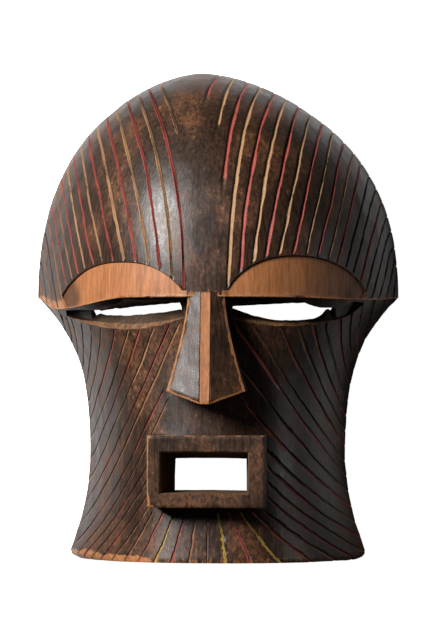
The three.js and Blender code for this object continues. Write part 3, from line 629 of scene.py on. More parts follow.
def dome_shell(sizes, colours):
    """Columns run from the back rim over the dome, over the lid's incised edge, down to the brow's
    edge and under it to the back plane. Groove columns are sunk."""
    sides = []
    for side, first, letters in ((-1, FIRST_LEFT_GROOVE, DOME_LEFT_PIGMENTS), (1, 1, DOME_RIGHT_PIGMENTS)):
        columns = groove_columns(first, DOME_GROOVES, edge_first=True)
        kept = (columns[0] < DOME_GROOVES) | (columns[1] <= BANK)
        numbers, shifts, section, painted, groove_shadow = [values[kept] for values in columns]
        hold = held(shifts)
        outwards = smooth((numbers - WIDTH_CHANGES_FROM) / WIDTH_CHANGES_OVER)
        share = mix(*DOME_WIDTHS[side], outwards)
        width = share[:, None] * sizes.groove_width / MM

        def x_of(rise, side=side, numbers=numbers, shifts=shifts, hold=hold, width=width):
            line = numbers[:, None]
            wander = unevenness(line * side, rise * DOME_RUN, (38, 9), (0.055, 0.02), 21)
            uneven = 1 + unevenness(line * side, rise * DOME_RUN, (20, 6), (0.3, 0.15), 23)
            half = half_groove(side, line, rise, width * uneven)
            return groove_x(side, line + spread_shift(shifts[:, None], half) + wander * hold[:, None], rise)

        fades = sum(np.where(numbers == number, fade, 0) for number, fade in LINE_FADES[side].items())
        paint = paint_of(letters, numbers, colours)
        sides.append((x_of, numbers * side, section, painted, groove_shadow, fades, paint))

    blocks = [dome_block(*side, sizes) for side in sides]
    left_x, right_x = sides[0][0], sides[1][0]
    share = np.linspace(0, 1, CREST_COLUMNS + 2)[1:-1]

    def crest_x(rise):
        left = left_x(np.broadcast_to(rise[:1], (len(sides[0][1]), rise.shape[1])))[0]
        right = right_x(np.broadcast_to(rise[:1], (len(sides[1][1]), rise.shape[1])))[0]
        return mix(left[None], right[None], share[:, None])

    def plain(x_of, count):
        return dome_block(x_of, *np.zeros((5, count)), np.zeros((count, 3)), sizes)

    crest = plain(crest_x, len(share))
    corners = [plain(lambda rise, side=side: np.full(rise.shape, side * HALF_WIDTH), 1) for side in (-1, 1)]
    left = [array[::-1] for array in blocks[0]]
    order = [corners[0], left, crest, blocks[1], corners[1]]
    points, pigment, finish = (np.concatenate([block[i] for block in order]) for i in range(3))
    shell = Shell()
    numbers = shell.add(points, pigment, finish)
    shell.cover(numbers, overturned=True)
    shell.close(np.concatenate([numbers[:, -1][::-1], numbers[1:-1, 0]]))
    return shell


def dome_block(x_of, numbers, section, painted, groove_shadow, fades, paint, sizes):
    """Points, pigment and finish of a set of dome columns."""
    count = len(numbers)
    edge = np.zeros((count, 1))
    for _ in range(8):
        x = x_of(edge)
        top = lid_height(x)
        edge = np.where(top > 0.01, (top - brow_line(x)) / (dome_height(x) - brow_line(x) + 1e-6), 0)
        edge = clamp(edge, 0, 0.9)
    on_lid = edge > 0.004
    split = np.maximum(edge, 0.03)
    turn = np.arccos((split + CONTOUR) ** (PROFILE_POWER / 2)) * np.linspace(0, 1, DOME_ROWS)
    upper = np.cos(turn) ** (2 / PROFILE_POWER)
    contour = split + CONTOUR * np.array([[0.4, 0, -0.5]])
    lid = mix(split - CONTOUR, 2 * CONTOUR, np.linspace(0, 1, LID_ROWS)[None])
    rise = np.concatenate([upper, contour, lid], axis=1)
    x = x_of(rise)
    flat = dome_point(x, rise, np.zeros_like(rise))
    rows = rise.shape[1]
    row = np.arange(rows)
    in_lid = (row >= DOME_ROWS + 2) & on_lid
    on_line = (row == DOME_ROWS + 1) & on_lid
    fade = np.where(fades[:, None] > 0, smooth((rise - fades[:, None]) / 0.12), 1)
    above = (row < DOME_ROWS) | ~on_lid
    near_edge = smooth((rise - edge) / 0.02)
    drawn = np.where(on_lid, np.where(above, near_edge, 0), 1) * fade
    depth_change = 1 + 0.28 * line_noise(numbers[:, None], rise * DOME_RUN, 17, 25)
    steepness = 1 - clamp(flat[..., 2] / (0.75 * BROW_DEPTH))
    tidy = clamp(dome_height(x) / 30) * clamp((1 - rise) / 0.03 + 0.4)
    surface = relief(flat, sizes, steepness) * tidy
    at_rim = np.where(x < 0, RIM_DEPTH_SHARE[-1], RIM_DEPTH_SHARE[1])
    shallow = mix(1, at_rim, smooth((rise - 0.95) / 0.05))
    sink = section[:, None] * sizes.groove_depth / MM * drawn * depth_change * shallow + surface
    lid_sink = sizes.lid_sink / MM * smooth(edge / 0.06)
    sink = sink + np.where(in_lid, lid_sink, 0) + np.where(on_line, lid_sink + 0.5, 0)
    points = dome_point(x, rise, np.maximum(sink, 0))
    brow_x = x_of(np.zeros((count, 1)))
    low = brow_line(brow_x)
    depth = brow_depth(brow_x)
    place = np.stack([brow_x, low, depth], axis=-1)
    chip = sizes.chip / MM * clamp(1.6 * noise(place, 7, 31) - 0.45) + 0.25
    chip = chip * clamp(depth / 20)
    front = dome_point(brow_x, np.full_like(brow_x, 0.003), np.where(on_lid, lid_sink, 0.25) + 0.4 * chip)
    front[..., 1] += 0.5 * chip
    corner = np.stack([brow_x, low, np.maximum(front[..., 2] - 0.5 - chip, 0.3 * depth)], axis=-1)
    under = corner * [1, 1, 0] + np.array([0, 0, 1]) * corner[..., 2:] * UNDER_SHARES[None, :, None]
    bumps = 0.5 * noise(under, 6, 33) * clamp(under[..., 2] / 20) * clamp(depth / 30)
    under[..., 1] += np.maximum(bumps, -0.3) * (UNDER_SHARES > 0)
    under[:, -1, 1] = low[:, 0]
    points = np.concatenate([points, front, corner, under], axis=1)
    total = points.shape[1]
    patchy = 1 + 0.35 * line_noise(numbers[:, None], rise * DOME_RUN, 11, 27)
    amount = painted[:, None] * drawn * patchy
    pigment = np.zeros((count, total, 4))
    pigment[..., :3] = paint[:, None, :]
    pigment[:, :rows, 3] = amount
    finish = np.zeros((count, total, 4))
    finish[:, :rows, 1] = in_lid
    outward = (np.abs(x) - LID_CENTRE) / LID_HALF_WIDTH
    # Painted light and shade on the lid's incised outline: its outer right part, the wall that faces the
    # lamp, is painted as bright bare wood; the rest of the line is painted with shadow, as are the grooves'
    # shaded walls.
    painted_lit_edge = on_line & (x > 0) & (outward > 0.42)
    smudge = smooth((outward - 0.5 + 0.35 * noise(points, 14, 35)[:, :rows]) / 0.5) * 0.9 * in_lid
    line_shade = np.where(on_line & ~painted_lit_edge, 1, groove_shadow[:, None] * drawn)
    finish[:, :rows, 2] = np.maximum(line_shade, smudge)
    rubbed = smooth((0.05 - rise) / 0.04) * 0.45 * (1 - in_lid)
    rubbed_corner = smooth((0.12 - rise) / 0.1) * smooth((-x / HALF_WIDTH - 0.74) / 0.08) * 0.8
    finish[:, :rows, 0] = np.where(painted_lit_edge, 1, np.maximum(rubbed, rubbed_corner))
    finish[:, rows, 0] = 0.9
    finish[:, rows, 1] = on_lid[:, 0]
    finish[:, rows + 1, 0] = 0.6
    # Painted shade under the brow.
    finish[:, rows + 2:, 2] = 0.6
    finish[:, rows + 2:, 3] = 0.5
    return points, pigment, finish


def face_shell(sizes, colours):
    """Lines fan out from the middle line over the face to the side rim and the base, and down to the
    back plane. Groove lines are sunk."""
    columns = groove_columns(1, FACE_GROOVES)
    kept = (columns[0] < FACE_GROOVES) | (columns[1] <= 0)
    lead = ([1, 1], [-1, -0.75], [0, 0], [0, 0], [0, 0])
    numbers, shifts, section, painted, groove_shadow = [
        np.concatenate([start, values[kept]]) for start, values in zip(lead, columns)]
    lines = numbers + shifts
    hold = np.where(numbers == FACE_GROOVES, 0, held(shifts))
    root_part = np.linspace(0, 1, 22)[:-1]
    run = np.concatenate([[0, 0.006, 0.014], np.linspace(0.03, 1, 66)])
    root_zeros = np.zeros(len(root_part))
    began, end_run = (np.concatenate([root_zeros, part])[None, :]
                      for part in (smooth(run / 0.012), smooth((run - 0.9) / 0.1)))
    along = run[None, :] * FACE_RUN
    shell = Shell()
    rims, tops = [], []
    for side, letters in ((-1, FACE_LEFT_PIGMENTS), (1, FACE_RIGHT_PIGMENTS)):
        key = np.where(numbers == FACE_GROOVES, numbers, numbers * side)[:, None]
        wander = unevenness(key, along, (36, 9), (0.05, 0.02), 41)
        uneven = 1 + unevenness(key, along, (18, 6), (0.3, 0.15), 43)
        width = FACE_WIDTHS[side] * sizes.groove_width / MM
        half = half_fan_groove(side, numbers[:, None], run[None, :], width * uneven)
        shifted = np.where(shifts[:, None] < -0.5, shifts[:, None], spread_shift(shifts[:, None], half))
        line = numbers[:, None] + shifted + wander * hold[:, None] * smooth(run / 0.08)
        line = clamp(line, 0, FACE_GROOVES)
        x, drop = fan_place(side, line, run[None, :])
        first_x, first_drop = fan_start(side, line[:, :1])
        root_line = lines[:, None]
        root_drop = mix(fan_root(root_line), first_drop, root_part[None, :])
        root_x = side * root_part[None, :] * first_x / face_half_width(first_drop)
        root_x = root_x * face_half_width(root_drop)
        x = np.concatenate([root_x, x], axis=1)
        drop = np.concatenate([root_drop, drop], axis=1)
        depth = face_depth(x, drop)
        place = np.stack([x, -drop, depth], axis=-1)
        depth_change = 1 + 0.3 * line_noise(key, drop, 15, 45)
        steepness = 1 - clamp(depth / (0.8 * FACE_DEPTH))
        tidy = clamp((FACE_LENGTH + 3 - drop) / 8)
        on_rim = np.zeros(x.shape, bool)
        on_rim[:, -1] = line[:, -1] <= CORNER_GROOVE[side]
        sink = relief(place, sizes, steepness) * tidy + 0.05
        at_rim = np.where(numbers == FACE_GROOVES, 1, RIM_DEPTH_SHARE[side])[:, None]
        shallow = FACE_DEPTH_SHARE * mix(1, at_rim, end_run)
        sink = sink + section[:, None] * began * depth_change * shallow * sizes.groove_depth / MM
        points = face_point(x, drop, np.maximum(sink, 0))
        points[..., 2] = np.where(on_rim, 0, np.maximum(points[..., 2], LEAST_DEPTH_SHARE * depth))
        paint = paint_of(letters, numbers, colours)
        pigment = np.zeros(points.shape[:-1] + (4,))
        pigment[..., :3] = paint[:, None, :]
        patchy = 1 + 0.35 * line_noise(key, drop, 11, 46)
        pigment[..., 3] = painted[:, None] * began * patchy
        ragged = 2.2 * noise(place * [1, 1, 0.3], 9, 47) + 1.2 * noise(place, 3.5, 48)
        worn_and_lit_base = smooth((drop - FACE_LENGTH + 10 + ragged) / 3.0)
        worn_and_lit_base = worn_and_lit_base * np.where(x < -44 + 6 * noise(place, 20, 49), 1, 0.35)
        # Painted light: a facet over the chin is painted a little lighter, as a plane that catches the lamp,
        # on top of the base's real wear.
        facet_half = mix(22, 40, smooth((drop - FACE_LENGTH + 34) / 30)) + 4 * noise(place, 12, 53)
        facet = smooth((facet_half - np.abs(x + 3)) / 3) * smooth((drop - FACE_LENGTH + 36) / 4)
        worn_and_lit_base = np.maximum(worn_and_lit_base, 0.2 * facet * (section[:, None] == 0))
        # Painted shadow on each groove's shaded wall.
        finish = finish_of(points.shape[:-1], wear=worn_and_lit_base, shade=FACE_SHADOW_SHARE * groove_shadow[:, None] * began)
        numbers_grid = shell.add(points, pigment, finish)
        shell.cover(numbers_grid, overturned=side < 0)
        ends = points[:, -1:]
        shares = WALL_SHARES[None, :, None]
        wall = ends * [1, 1, 0] + ends * [0, 0, 1] * shares
        on_base = (lines > CORNER_GROOVE[side] + 0.4)[:, None]
        marks = 0.45 * noise(wall, 11, 51) * (shares[..., 0] > 0) * on_base
        wall[..., 1] += np.maximum(marks, -0.2) * smooth(ends[..., 2] / 30)
        wall_wear = mix(0.9, 0.15, smooth((1 - shares[..., 0]) / 0.2)) * (ends[..., 0] < 0)
        # The walls down to the back plane take painted shade; the wear on the left base edge is real.
        wall_finish = finish_of(wall.shape[:-1], wear=wall_wear, shade=0.25)
        wall_numbers = shell.add(wall, None, wall_finish)
        shell.cover(np.concatenate([numbers_grid[:, -1:], wall_numbers], axis=1), overturned=side < 0)
        top = points[0] * [1, 1, 0]
        top_numbers = shell.add(top)
        shell.cover(np.stack([top_numbers, numbers_grid[0]], axis=0), overturned=side < 0)
        rims.append(wall_numbers[:, -1])
        tops.append(top_numbers)
    outline = np.concatenate([tops[1], rims[1][1:], rims[0][:-1][::-1], tops[0][1:-1][::-1]])
    shell.close(outline)
    return shell


def block_shell(front, finish, wall_finish):
    """A block under a grid of front points: walls drop from its four sides to a flat back."""
    shell = Shell()
    numbers = shell.add(front, None, finish)
    shell.cover(numbers)
    edge = np.concatenate([front[:-1, 0], front[-1, :-1], front[:0:-1, -1], front[0, :0:-1]])
    edge_numbers = np.concatenate([numbers[:-1, 0], numbers[-1, :-1], numbers[:0:-1, -1], numbers[0, :0:-1]])
    shares = (np.arange(1, 11) / 10)[None, :]
    depth = mix(edge[:, 2:], JOIN_DEPTH, shares)
    wall = np.stack(np.broadcast_arrays(edge[:, :1], edge[:, 1:2], depth), axis=-1).copy()
    ease = smooth(shares / 0.1) * (shares < 1)
    middle = edge[:, None, :2].mean(axis=0)
    outward = wall[..., :2] - middle
    outward /= np.linalg.norm(outward, axis=-1, keepdims=True)
    wall[..., :2] -= outward * (0.3 * (noise(wall, 8, 61) + 1) * ease)[..., None]
    wall_numbers = shell.add(wall, None, wall_finish)
    ring = np.concatenate([edge_numbers[:, None], wall_numbers], axis=1)
    ring = np.concatenate([ring, ring[:1]])
    shell.cover(ring, overturned=True)
    shell.close(wall_numbers[:, -1][::-1])
    return shell


def spread(*stops):
    """A row of values from stops and counts: start, then count and end of each stretch."""
    values = [np.array([stops[0]], float)]
    start = stops[0]
    for count, end in zip(stops[1::2], stops[2::2]):
        values.append(np.linspace(start, end, count + 1)[1:])
        start = end
    return np.concatenate(values)


def nose_shell(sizes):
    """Two planes fall from a flat ridge to the sides, and widen down to a shallow point."""
    side_part = spread(0, 1, 0.035, 15, 0.93, 1, 0.975)
    ridge_part = np.array([0.0, 0.05, 0.13, 0.3, 0.5, 0.7, 0.87, 0.95, 1.0])
    along = spread(-0.05, 4, 0.02, 34, 0.975, 1, 0.99, 1, 1.0)
    share = along[None, :]
    half = mix(NOSE_TOP_HALF_WIDTH, NOSE_CORNER_HALF_WIDTH, np.maximum(0, share) ** 1.4)
    top = mix(NOSE_TOP_DEPTH, NOSE_TIP_DEPTH, share)
    edge = top - mix(NOSE_EDGE_FALL_TOP, NOSE_EDGE_FALL_TIP, share)
    ridge = NOSE_RIDGE_HALF_WIDTH
    planes = []
    for sign, part in ((-1, side_part), (1, side_part[::-1])):
        t = part[:, None]
        x = sign * mix(half, ridge, t)
        y = mix(-NOSE_CORNER_DROP * share, -NOSE_TIP_DROP * share, t)
        z = mix(edge, top, t)
        planes.append(np.stack([x, y, z], axis=-1))
    t = ridge_part[:, None]
    strip = np.stack(np.broadcast_arrays(mix(-ridge, ridge, t), -NOSE_TIP_DROP * share, top), axis=-1).copy()
    lines = np.abs(ridge_part - 0.5) * 2
    step = np.where(lines > 0.95, -0.55, np.where(lines > 0.7, 0.0, -0.12))
    strip[..., 2] += step[:, None]
    front = np.concatenate([planes[0], strip, planes[1]])
    # The ridge strip is bare wood; its edge lines, and the nose's top under the brow, take painted shade.
    bare, shade = (np.pad(part * 1.0, len(side_part))[:, None] for part in (lines < 0.93, lines > 0.93))
    shade = shade + (share < -0.035)
    surface = 0.25 + 0.2 * noise(front, 14, 63) + 0.12 * noise(front, 5, 64)
    front[..., 2] -= np.maximum(surface, 0) * (1 - 0.6 * bare)
    edge_gap = (1 - np.abs(front[..., 0]) / half) * half
    tip_gap = (1 - share) * NOSE_TIP_DROP
    rounding = sizes.edge_rounding / MM
    chips = clamp(1.5 * noise(front, 6, 66) - 0.4) * sizes.chip / MM
    gap = np.minimum(edge_gap, tip_gap)
    front[..., 2] -= (rounding + chips) * (1 - smooth(gap / (1.6 + chips)))
    ragged = 0.8 * noise(front, 4, 67)
    wear = 1 - smooth((gap + ragged - 0.6) / 1.6)
    grain = finish_of(front.shape[:-1], wear=wear, bare=bare, shade=shade)
    # The nose's side walls take painted shade.
    return block_shell(front[::-1], grain[::-1], finish_of((), wear=0.05, shade=0.3))


def mouth_shell(sizes):
    """A square block with a flat front, its left edge and lower left corner worn down."""
    left, right = -MOUTH_HALF_WIDTH, MOUTH_HALF_WIDTH
    xs = spread(left, 1, left + 0.6, 2, left + 3, 40, right - 1.5, 1, right - 0.5, 1, right)
    ys = spread(-MOUTH_BOTTOM, 1, -MOUTH_BOTTOM + 0.5, 2, -MOUTH_BOTTOM + 3, 26, -MOUTH_TOP - 1.5,
                1, -MOUTH_TOP - 0.5, 1, -MOUTH_TOP)
    x, y = np.meshgrid(xs, ys, indexing="ij")
    front = np.stack([x, y, np.full_like(x, MOUTH_DEPTH)], axis=-1)
    gap_left, gap_right = x - left, right - x
    gap_low, gap_top = y + MOUTH_BOTTOM, -MOUTH_TOP - y
    ragged = 0.7 * noise(front, 6, 71) + 0.4 * noise(front, 2.5, 72)
    corner = 2.6 * smooth(1 - np.hypot(gap_left, gap_low) / 11)
    worn_left = 1 - smooth((gap_left + ragged - corner - 0.3) / 1.9)
    worn_low = (1 - smooth((gap_low + ragged - corner) / 1.5)) * (1 - smooth((gap_left - 12) / 14))
    worn_top = (1 - smooth((gap_top + 0.7 * ragged) / 0.9)) * 0.75
    wear = np.maximum(np.maximum(worn_left, worn_low), worn_top)
    rounding = sizes.edge_rounding / MM
    nearest = np.minimum(np.minimum(gap_left, gap_right), np.minimum(gap_low, gap_top))
    front[..., 2] -= rounding * (1 - smooth(nearest / 1.2))
    front[..., 2] -= 1.3 * np.maximum(worn_left, worn_low) * smooth(1 - np.minimum(gap_left, gap_low) / 4)
    front[..., 2] -= 0.15 + 0.15 * noise(front, 12, 73) + 0.08 * noise(front, 4, 74)
    pull = (0.5 * corner + 0.3) * (nearest < 0.01)
    front[..., 0] += pull * ((gap_left < 0.01) * 1.0 - (gap_right < 0.01))
    front[..., 1] += pull * ((gap_low < 0.01) * 1.0 - (gap_top < 0.01))
    # The mouth block's side walls take painted shade; the wear on its front is real.
    return block_shell(front, finish_of(x.shape, wear=wear), finish_of((), wear=0.05, shade=0.35))


def loft_shell(loops, finish):
    """Closed loops joined one to the next, each end closed by a fan about its own middle."""
    shell = Shell()
    numbers = shell.add(loops, None, finish)
    ring = np.concatenate([numbers, numbers[:, :1]], axis=1)
    shell.cover(ring, overturned=True)
    for end, overturned in ((0, True), (-1, False)):
        middle = shell.add(loops[end].mean(axis=0)[None])
        fan = np.stack([np.repeat(middle, ring.shape[1]), ring[end]])
        shell.cover(fan, overturned=overturned)
    return shell


def gouged(points, depth, seed):
    """Gouge marks on a hollow: how far each point is pushed into the wood."""
    return depth * (1 - scoops(points * [1, 0.55, 1], 9, seed)) + 0.3 * noise(points, 20, seed + 5)


def dome_hollow_shell():
    """The hollow behind the dome: superellipse columns inside the wall, open at the back."""
    width = HALF_WIDTH - SIDE_WALL
    x = -width * 0.998 * np.cos(np.pi * np.linspace(0, 1, 72))[:, None]
    height = np.maximum(LEDGE_WALL, dome_height(x, SIDE_WALL))
    depth = brow_depth(x, SIDE_WALL) * (BROW_DEPTH - FRONT_WALL) / (BROW_DEPTH - SIDE_WALL)
    turn = np.linspace(0, np.pi / 2, 44)[None, :]
    rise = np.cos(turn) ** (2 / PROFILE_POWER)
    rise[:, -1] = 0
    fall = np.sin(turn) ** (2 / PROFILE_POWER)
    y = mix(LEDGE_WALL, height, rise)
    inner = np.stack([x + lean(y), y, depth * fall], axis=-1)
    easing = clamp(depth / 25) * clamp(height / 40) * smooth(np.sin(turn) * 3) * smooth(rise * 8)
    marks = gouged(inner, 1.1, 81) * easing
    inner[..., 2] += np.minimum(marks, 1.6)
    low = np.stack([x, np.full_like(x, LEDGE_WALL), np.full_like(x, -OVERLAP)], axis=-1)
    high = np.stack([x + lean(height), height, np.full_like(x, -OVERLAP)], axis=-1)
    loops = np.concatenate([inner, low, high], axis=1)
    return loft_shell(loops, finish_of(loops.shape[:-1], hollow=1))


def face_hollow_shell():
    """The hollow behind the face: arches inside the walls, one for each drop, open at the back."""
    drop = np.concatenate([[-2 * LEDGE_WALL], np.linspace(0, FACE_LENGTH - BASE_WALL, 76)])[:, None]
    below = np.maximum(0, drop)
    half = face_half_width(below, SIDE_WALL)
    x = half * np.cos(np.pi * np.linspace(0, 1, 64))[None, :]
    depth = hollow_depth(x, below)
    inner = np.stack(np.broadcast_arrays(x, -drop, depth), axis=-1).copy()
    inner[..., 2] += np.minimum(gouged(inner, 1.1, 91), 1.6) * clamp(depth / 25)
    back = np.full_like(half, -OVERLAP)
    left = np.stack([-half, -drop, back], axis=-1)
    right = np.stack([half, -drop, back], axis=-1)
    loops = np.concatenate([inner, left, right], axis=1)
    return loft_shell(loops, finish_of(loops.shape[:-1], hollow=1))


def tunnel_shell():
    """The mouth's tunnel: rectangles that shrink inwards, flared at the front edge."""
    length = MOUTH_DEPTH - (FACE_DEPTH - FRONT_WALL)
    behind = np.concatenate([[length + OVERLAP], np.linspace(length, 2, 12), [1.2, 0.6, 0, -0.6, -OVERLAP]])
    part = behind / length
    flare = 1.1 * smooth(1 - behind / 1.8)
    left = -MOUTH_HALF_WIDTH + MOUTH_RIM_LEFT + 8 * part - flare
    right = MOUTH_HALF_WIDTH - MOUTH_RIM_RIGHT - 4 * part + flare
    low = -MOUTH_BOTTOM + MOUTH_RIM_BOTTOM - flare
    high = -MOUTH_TOP - MOUTH_RIM_TOP - 6.2 * part + flare
    side = np.linspace(-1, 1, 25)[:-1]
    whole = np.ones_like(side)
    u = np.concatenate([whole, -side, -whole, side])[None, :]
    v = np.concatenate([side, whole, -side, -whole])[None, :]
    x = mix(left[:, None], right[:, None], (u + 1) / 2)
    y = mix(low[:, None], high[:, None], (v + 1) / 2)
    loops = np.stack(np.broadcast_arrays(x, y, MOUTH_DEPTH - behind[:, None]), axis=-1).copy()
    bow = 0.9 * np.cos(np.pi * u / 2) * (v < -0.7) + 0.5 * noise(loops, 12, 95) + 0.25 * noise(loops, 4, 96)
    loops[..., 1] += bow * np.sign(-v) * 0.5
    loops[..., 0] += 0.35 * noise(loops, 10, 97) * np.sign(u)
    rim = smooth(1 - np.abs(behind[:, None]) / 1.6)
    # Painted light: the tunnel's left wall is painted as worn wood so that it reads lit; the wear at the top
    # rim is real, and the whole tunnel takes a little painted shade.
    wear = np.maximum(0.35 * rim * (v > 0.5), 0.4 * (u < -0.99))
    finish = finish_of(loops.shape[:-1], wear=wear, shade=0.1, hollow=0.75 - 0.6 * rim)
    return loft_shell(loops, finish)


def eye_shell(side):
    """One eye slit: sections across it at steps outwards. It goes through to the hollow as far as the
    temple and ends in a blind pocket. Its lower front edge is bevelled out to the lid's lip."""
    x = np.linspace(EYE_INNER, EYE_OUTER, 120)
    part = clamp((x - EYE_INNER) / (EYE_THROUGH - EYE_INNER))
    rough = 1.4 * line_noise(side, x, 5, 101)
    inside = smooth((x - EYE_THROUGH + rough) / 8 + 0.5)
    top_line = EYE_TOP - brow_line(side * x)
    bottom = np.maximum(eye_edge(LIP_TOP[side], x), top_line + EYE_LEAST_HEIGHT)
    lip = np.maximum(eye_edge(LIP[side], x), bottom + LIP_LEAST_HEIGHT)
    back_top = np.maximum(mix(*SLIT_TOP[side], part), top_line + LID_LEAST_THICKNESS)
    slit_bottom = eye_edge(SLIT_BOTTOM[side], np.minimum(x, EYE_THROUGH))
    slit_bottom = mix(slit_bottom, bottom - EYE_LEAST_HEIGHT, inside)
    back_bottom = np.maximum(slit_bottom, back_top + EYE_LEAST_HEIGHT)
    front = face_depth(x, bottom)
    through = hollow_depth(x, back_bottom) - OVERLAP / 2
    out_part = clamp((EYE_OUTER - x) / (EYE_OUTER - EYE_THROUGH), 0.15, 1)
    lip_front = face_depth(x, lip)
    pocket_floor = hollow_depth(x, back_top) + EYE_POCKET_FLOOR
    pocket = np.maximum(lip_front - EYE_POCKET * np.sqrt(out_part), pocket_floor)
    back = mix(through, pocket, inside)
    inner_x = x + INNER_WALL[side] * (1 - part) ** 4
    lip_depth = np.minimum(LIP_BEVEL_SLOPE * (lip - bottom), lip_front - back - 2)
    steps = np.linspace(0, 1, 9)[None, :]
    out = 6
    surface = mix(through + OVERLAP / 2 + 2, back + 0.6, inside)
    top_front = np.stack([x, -top_line, front + out], axis=-1)[:, None]
    top_back = np.stack([inner_x, -back_top, surface], axis=-1)[:, None]
    low_back = np.stack([inner_x, -back_bottom, surface], axis=-1)[:, None]
    behind = np.concatenate([top_back, low_back], axis=1)
    behind[..., 2] = back[:, None]
    low_front = np.stack([x, -bottom, lip_front - lip_depth], axis=-1)[:, None]
    lip_edge = np.stack([x, -lip, lip_front + 0.2], axis=-1)[:, None]
    beyond = lip_edge + (lip_edge - low_front) * (out / np.maximum(lip_depth, 0.5))[:, None, None]
    beyond = np.where(beyond[..., 2:] > lip_front[:, None, None] + out, beyond, lip_edge + [0, -out, out])
    top = mix(top_front, top_back, steps[..., None])
    low = mix(low_back, low_front, steps[..., None])
    bevel = mix(low_front, lip_edge, steps[:, 1:, None])
    loops = np.concatenate([top, behind, low, bevel, beyond], axis=1)
    count = steps.shape[1]
    marks = 0.35 * noise(loops, 4, 103) + 0.5 * noise(loops, 10, 104)
    marks[:, [0, -1]] = 0
    loops[..., 1] += marks
    loops[..., 0] *= side
    # Painted shade: the slit's walls are painted dark, the upper one nearly black and the lower one a little
    # less where the slit goes through; the lip's bevel is worn, with patchy painted shade.
    finish = finish_of(loops.shape[:-1], shade=0.95, hollow=0.5).copy()
    lower = count + 2
    lip_row = lower + count - 1
    finish[:, lower:lip_row, 2] = mix(0.7, 0.95, inside)[:, None]
    finish[:, lip_row:, 0] = 0.5
    finish[:, lip_row:, 2] = 0.3 + 0.25 * noise(loops[:, lip_row:], 7, 105)
    finish[:, lip_row:, 3] = 0.9
    order = slice(None, None, -1 if side > 0 else 1)
    return loft_shell(loops[:, order], finish[:, order])


def joined_and_cut(base, joins, cuts):
    """One mesh from the base with each join added and each cut taken away."""
    for tools, operation in ((joins, "UNION"), (cuts, "DIFFERENCE")):
        for tool in tools:
            modifier = base.modifiers.new(tool.name, "BOOLEAN")
            modifier.operation = operation
            modifier.solver = "MANIFOLD"
            modifier.object = tool
    graph = bpy.context.evaluated_depsgraph_get()
    mesh = bpy.data.meshes.new_from_object(base.evaluated_get(graph), depsgraph=graph)
    base.modifiers.clear()
    for tool in [*joins, *cuts]:
        bpy.data.objects.remove(tool)
    base.data = mesh
    return base


def new_group(name, inputs, outputs):
    """An empty shader node group with named sockets: name, kind and default."""
    group = bpy.data.node_groups.new(name, "ShaderNodeTree")
    for label, kind, default in inputs:
        socket = group.interface.new_socket(label, in_out="INPUT", socket_type=kind)
        if default is not None:
            socket.default_value = default
    for label, kind in outputs:
        group.interface.new_socket(label, in_out="OUTPUT", socket_type=kind)
    return group, group.nodes.new("NodeGroupInput"), group.nodes.new("NodeGroupOutput")


class Wiring:
    """Short words for placing and linking shader nodes in one tree."""

    def __init__(self, tree):
        self.tree = tree

    def put(self, value, socket):
        """Links an output to the socket, or sets the socket's own value."""
        if isinstance(value, bpy.types.NodeSocket):
            self.tree.links.new(value, socket)
        elif value is not None:
            socket.default_value = value

    def node(self, kind, **settings):
        node = self.tree.nodes.new(kind)
        for key, value in settings.items():
            setattr(node, key, value)
        return node

    def math(self, operation, a, b=None, limited=False):
        """One sum, product or other operation on two values."""
        node = self.node("ShaderNodeMath", operation=operation, use_clamp=limited)
        self.put(a, node.inputs[0])
        self.put(b, node.inputs[1])
        return node.outputs[0]

    def ramp(self, value, low, high, to_low=0.0, to_high=1.0):
        """An eased step between two results as the value goes from low to high."""
        node = self.node("ShaderNodeMapRange", interpolation_type="SMOOTHSTEP")
        for socket, item in zip(node.inputs, (value, low, high, to_low, to_high)):
            self.put(item, socket)
        return node.outputs[0]

    def mixed(self, amount, a, b):
        """Colour a with this amount of colour b."""
        node = self.node("ShaderNodeMix", data_type="RGBA", clamp_factor=True)
        self.put(amount, node.inputs["Factor"])
        self.put(a, node.inputs[6])
        self.put(b, node.inputs[7])
        return node.outputs[2]

    def noise(self, vector, stretch, detail, rough):
        """Noise with its own counts to the metre along each axis."""
        node = self.node("ShaderNodeTexNoise")
        self.put(self.stretched(vector, stretch), node.inputs["Vector"])
        for label, value in (("Scale", 1.0), ("Detail", detail), ("Roughness", rough)):
            self.put(value, node.inputs[label])
        return node.outputs[0]

    def stretched(self, vector, scale):
        node = self.node("ShaderNodeMapping")
        self.put(vector, node.inputs["Vector"])
        node.inputs["Scale"].default_value = scale
        return node.outputs[0]


def wood_grain_group():
    """Streaks along Y, broad blotches and a height, from the piece's own coordinates."""
    group, start, end = new_group(
        "wood grain",
        [("Vector", "NodeSocketVector", None)],
        [(label, "NodeSocketFloat") for label in ("Streaks", "Blotches", "Flecks", "Height")],
    )
    w = Wiring(group)
    place = start.outputs["Vector"]
    long = w.noise(place, (520, 26, 520), 4, 0.6)
    fine = w.noise(place, (1500, 90, 1500), 3, 0.6)
    streaks = w.math("ADD", w.math("MULTIPLY", long, 0.62), w.math("MULTIPLY", fine, 0.38))
    blotches = w.noise(place, (34, 20, 34), 5, 0.62)
    flecks = w.noise(place, (420, 250, 420), 4, 0.7)
    height = w.math("ADD", w.math("MULTIPLY", streaks, 0.7), w.math("MULTIPLY", flecks, 0.45))
    for value, socket in zip((streaks, blotches, flecks, height), end.inputs):
        w.put(value, socket)
    return group


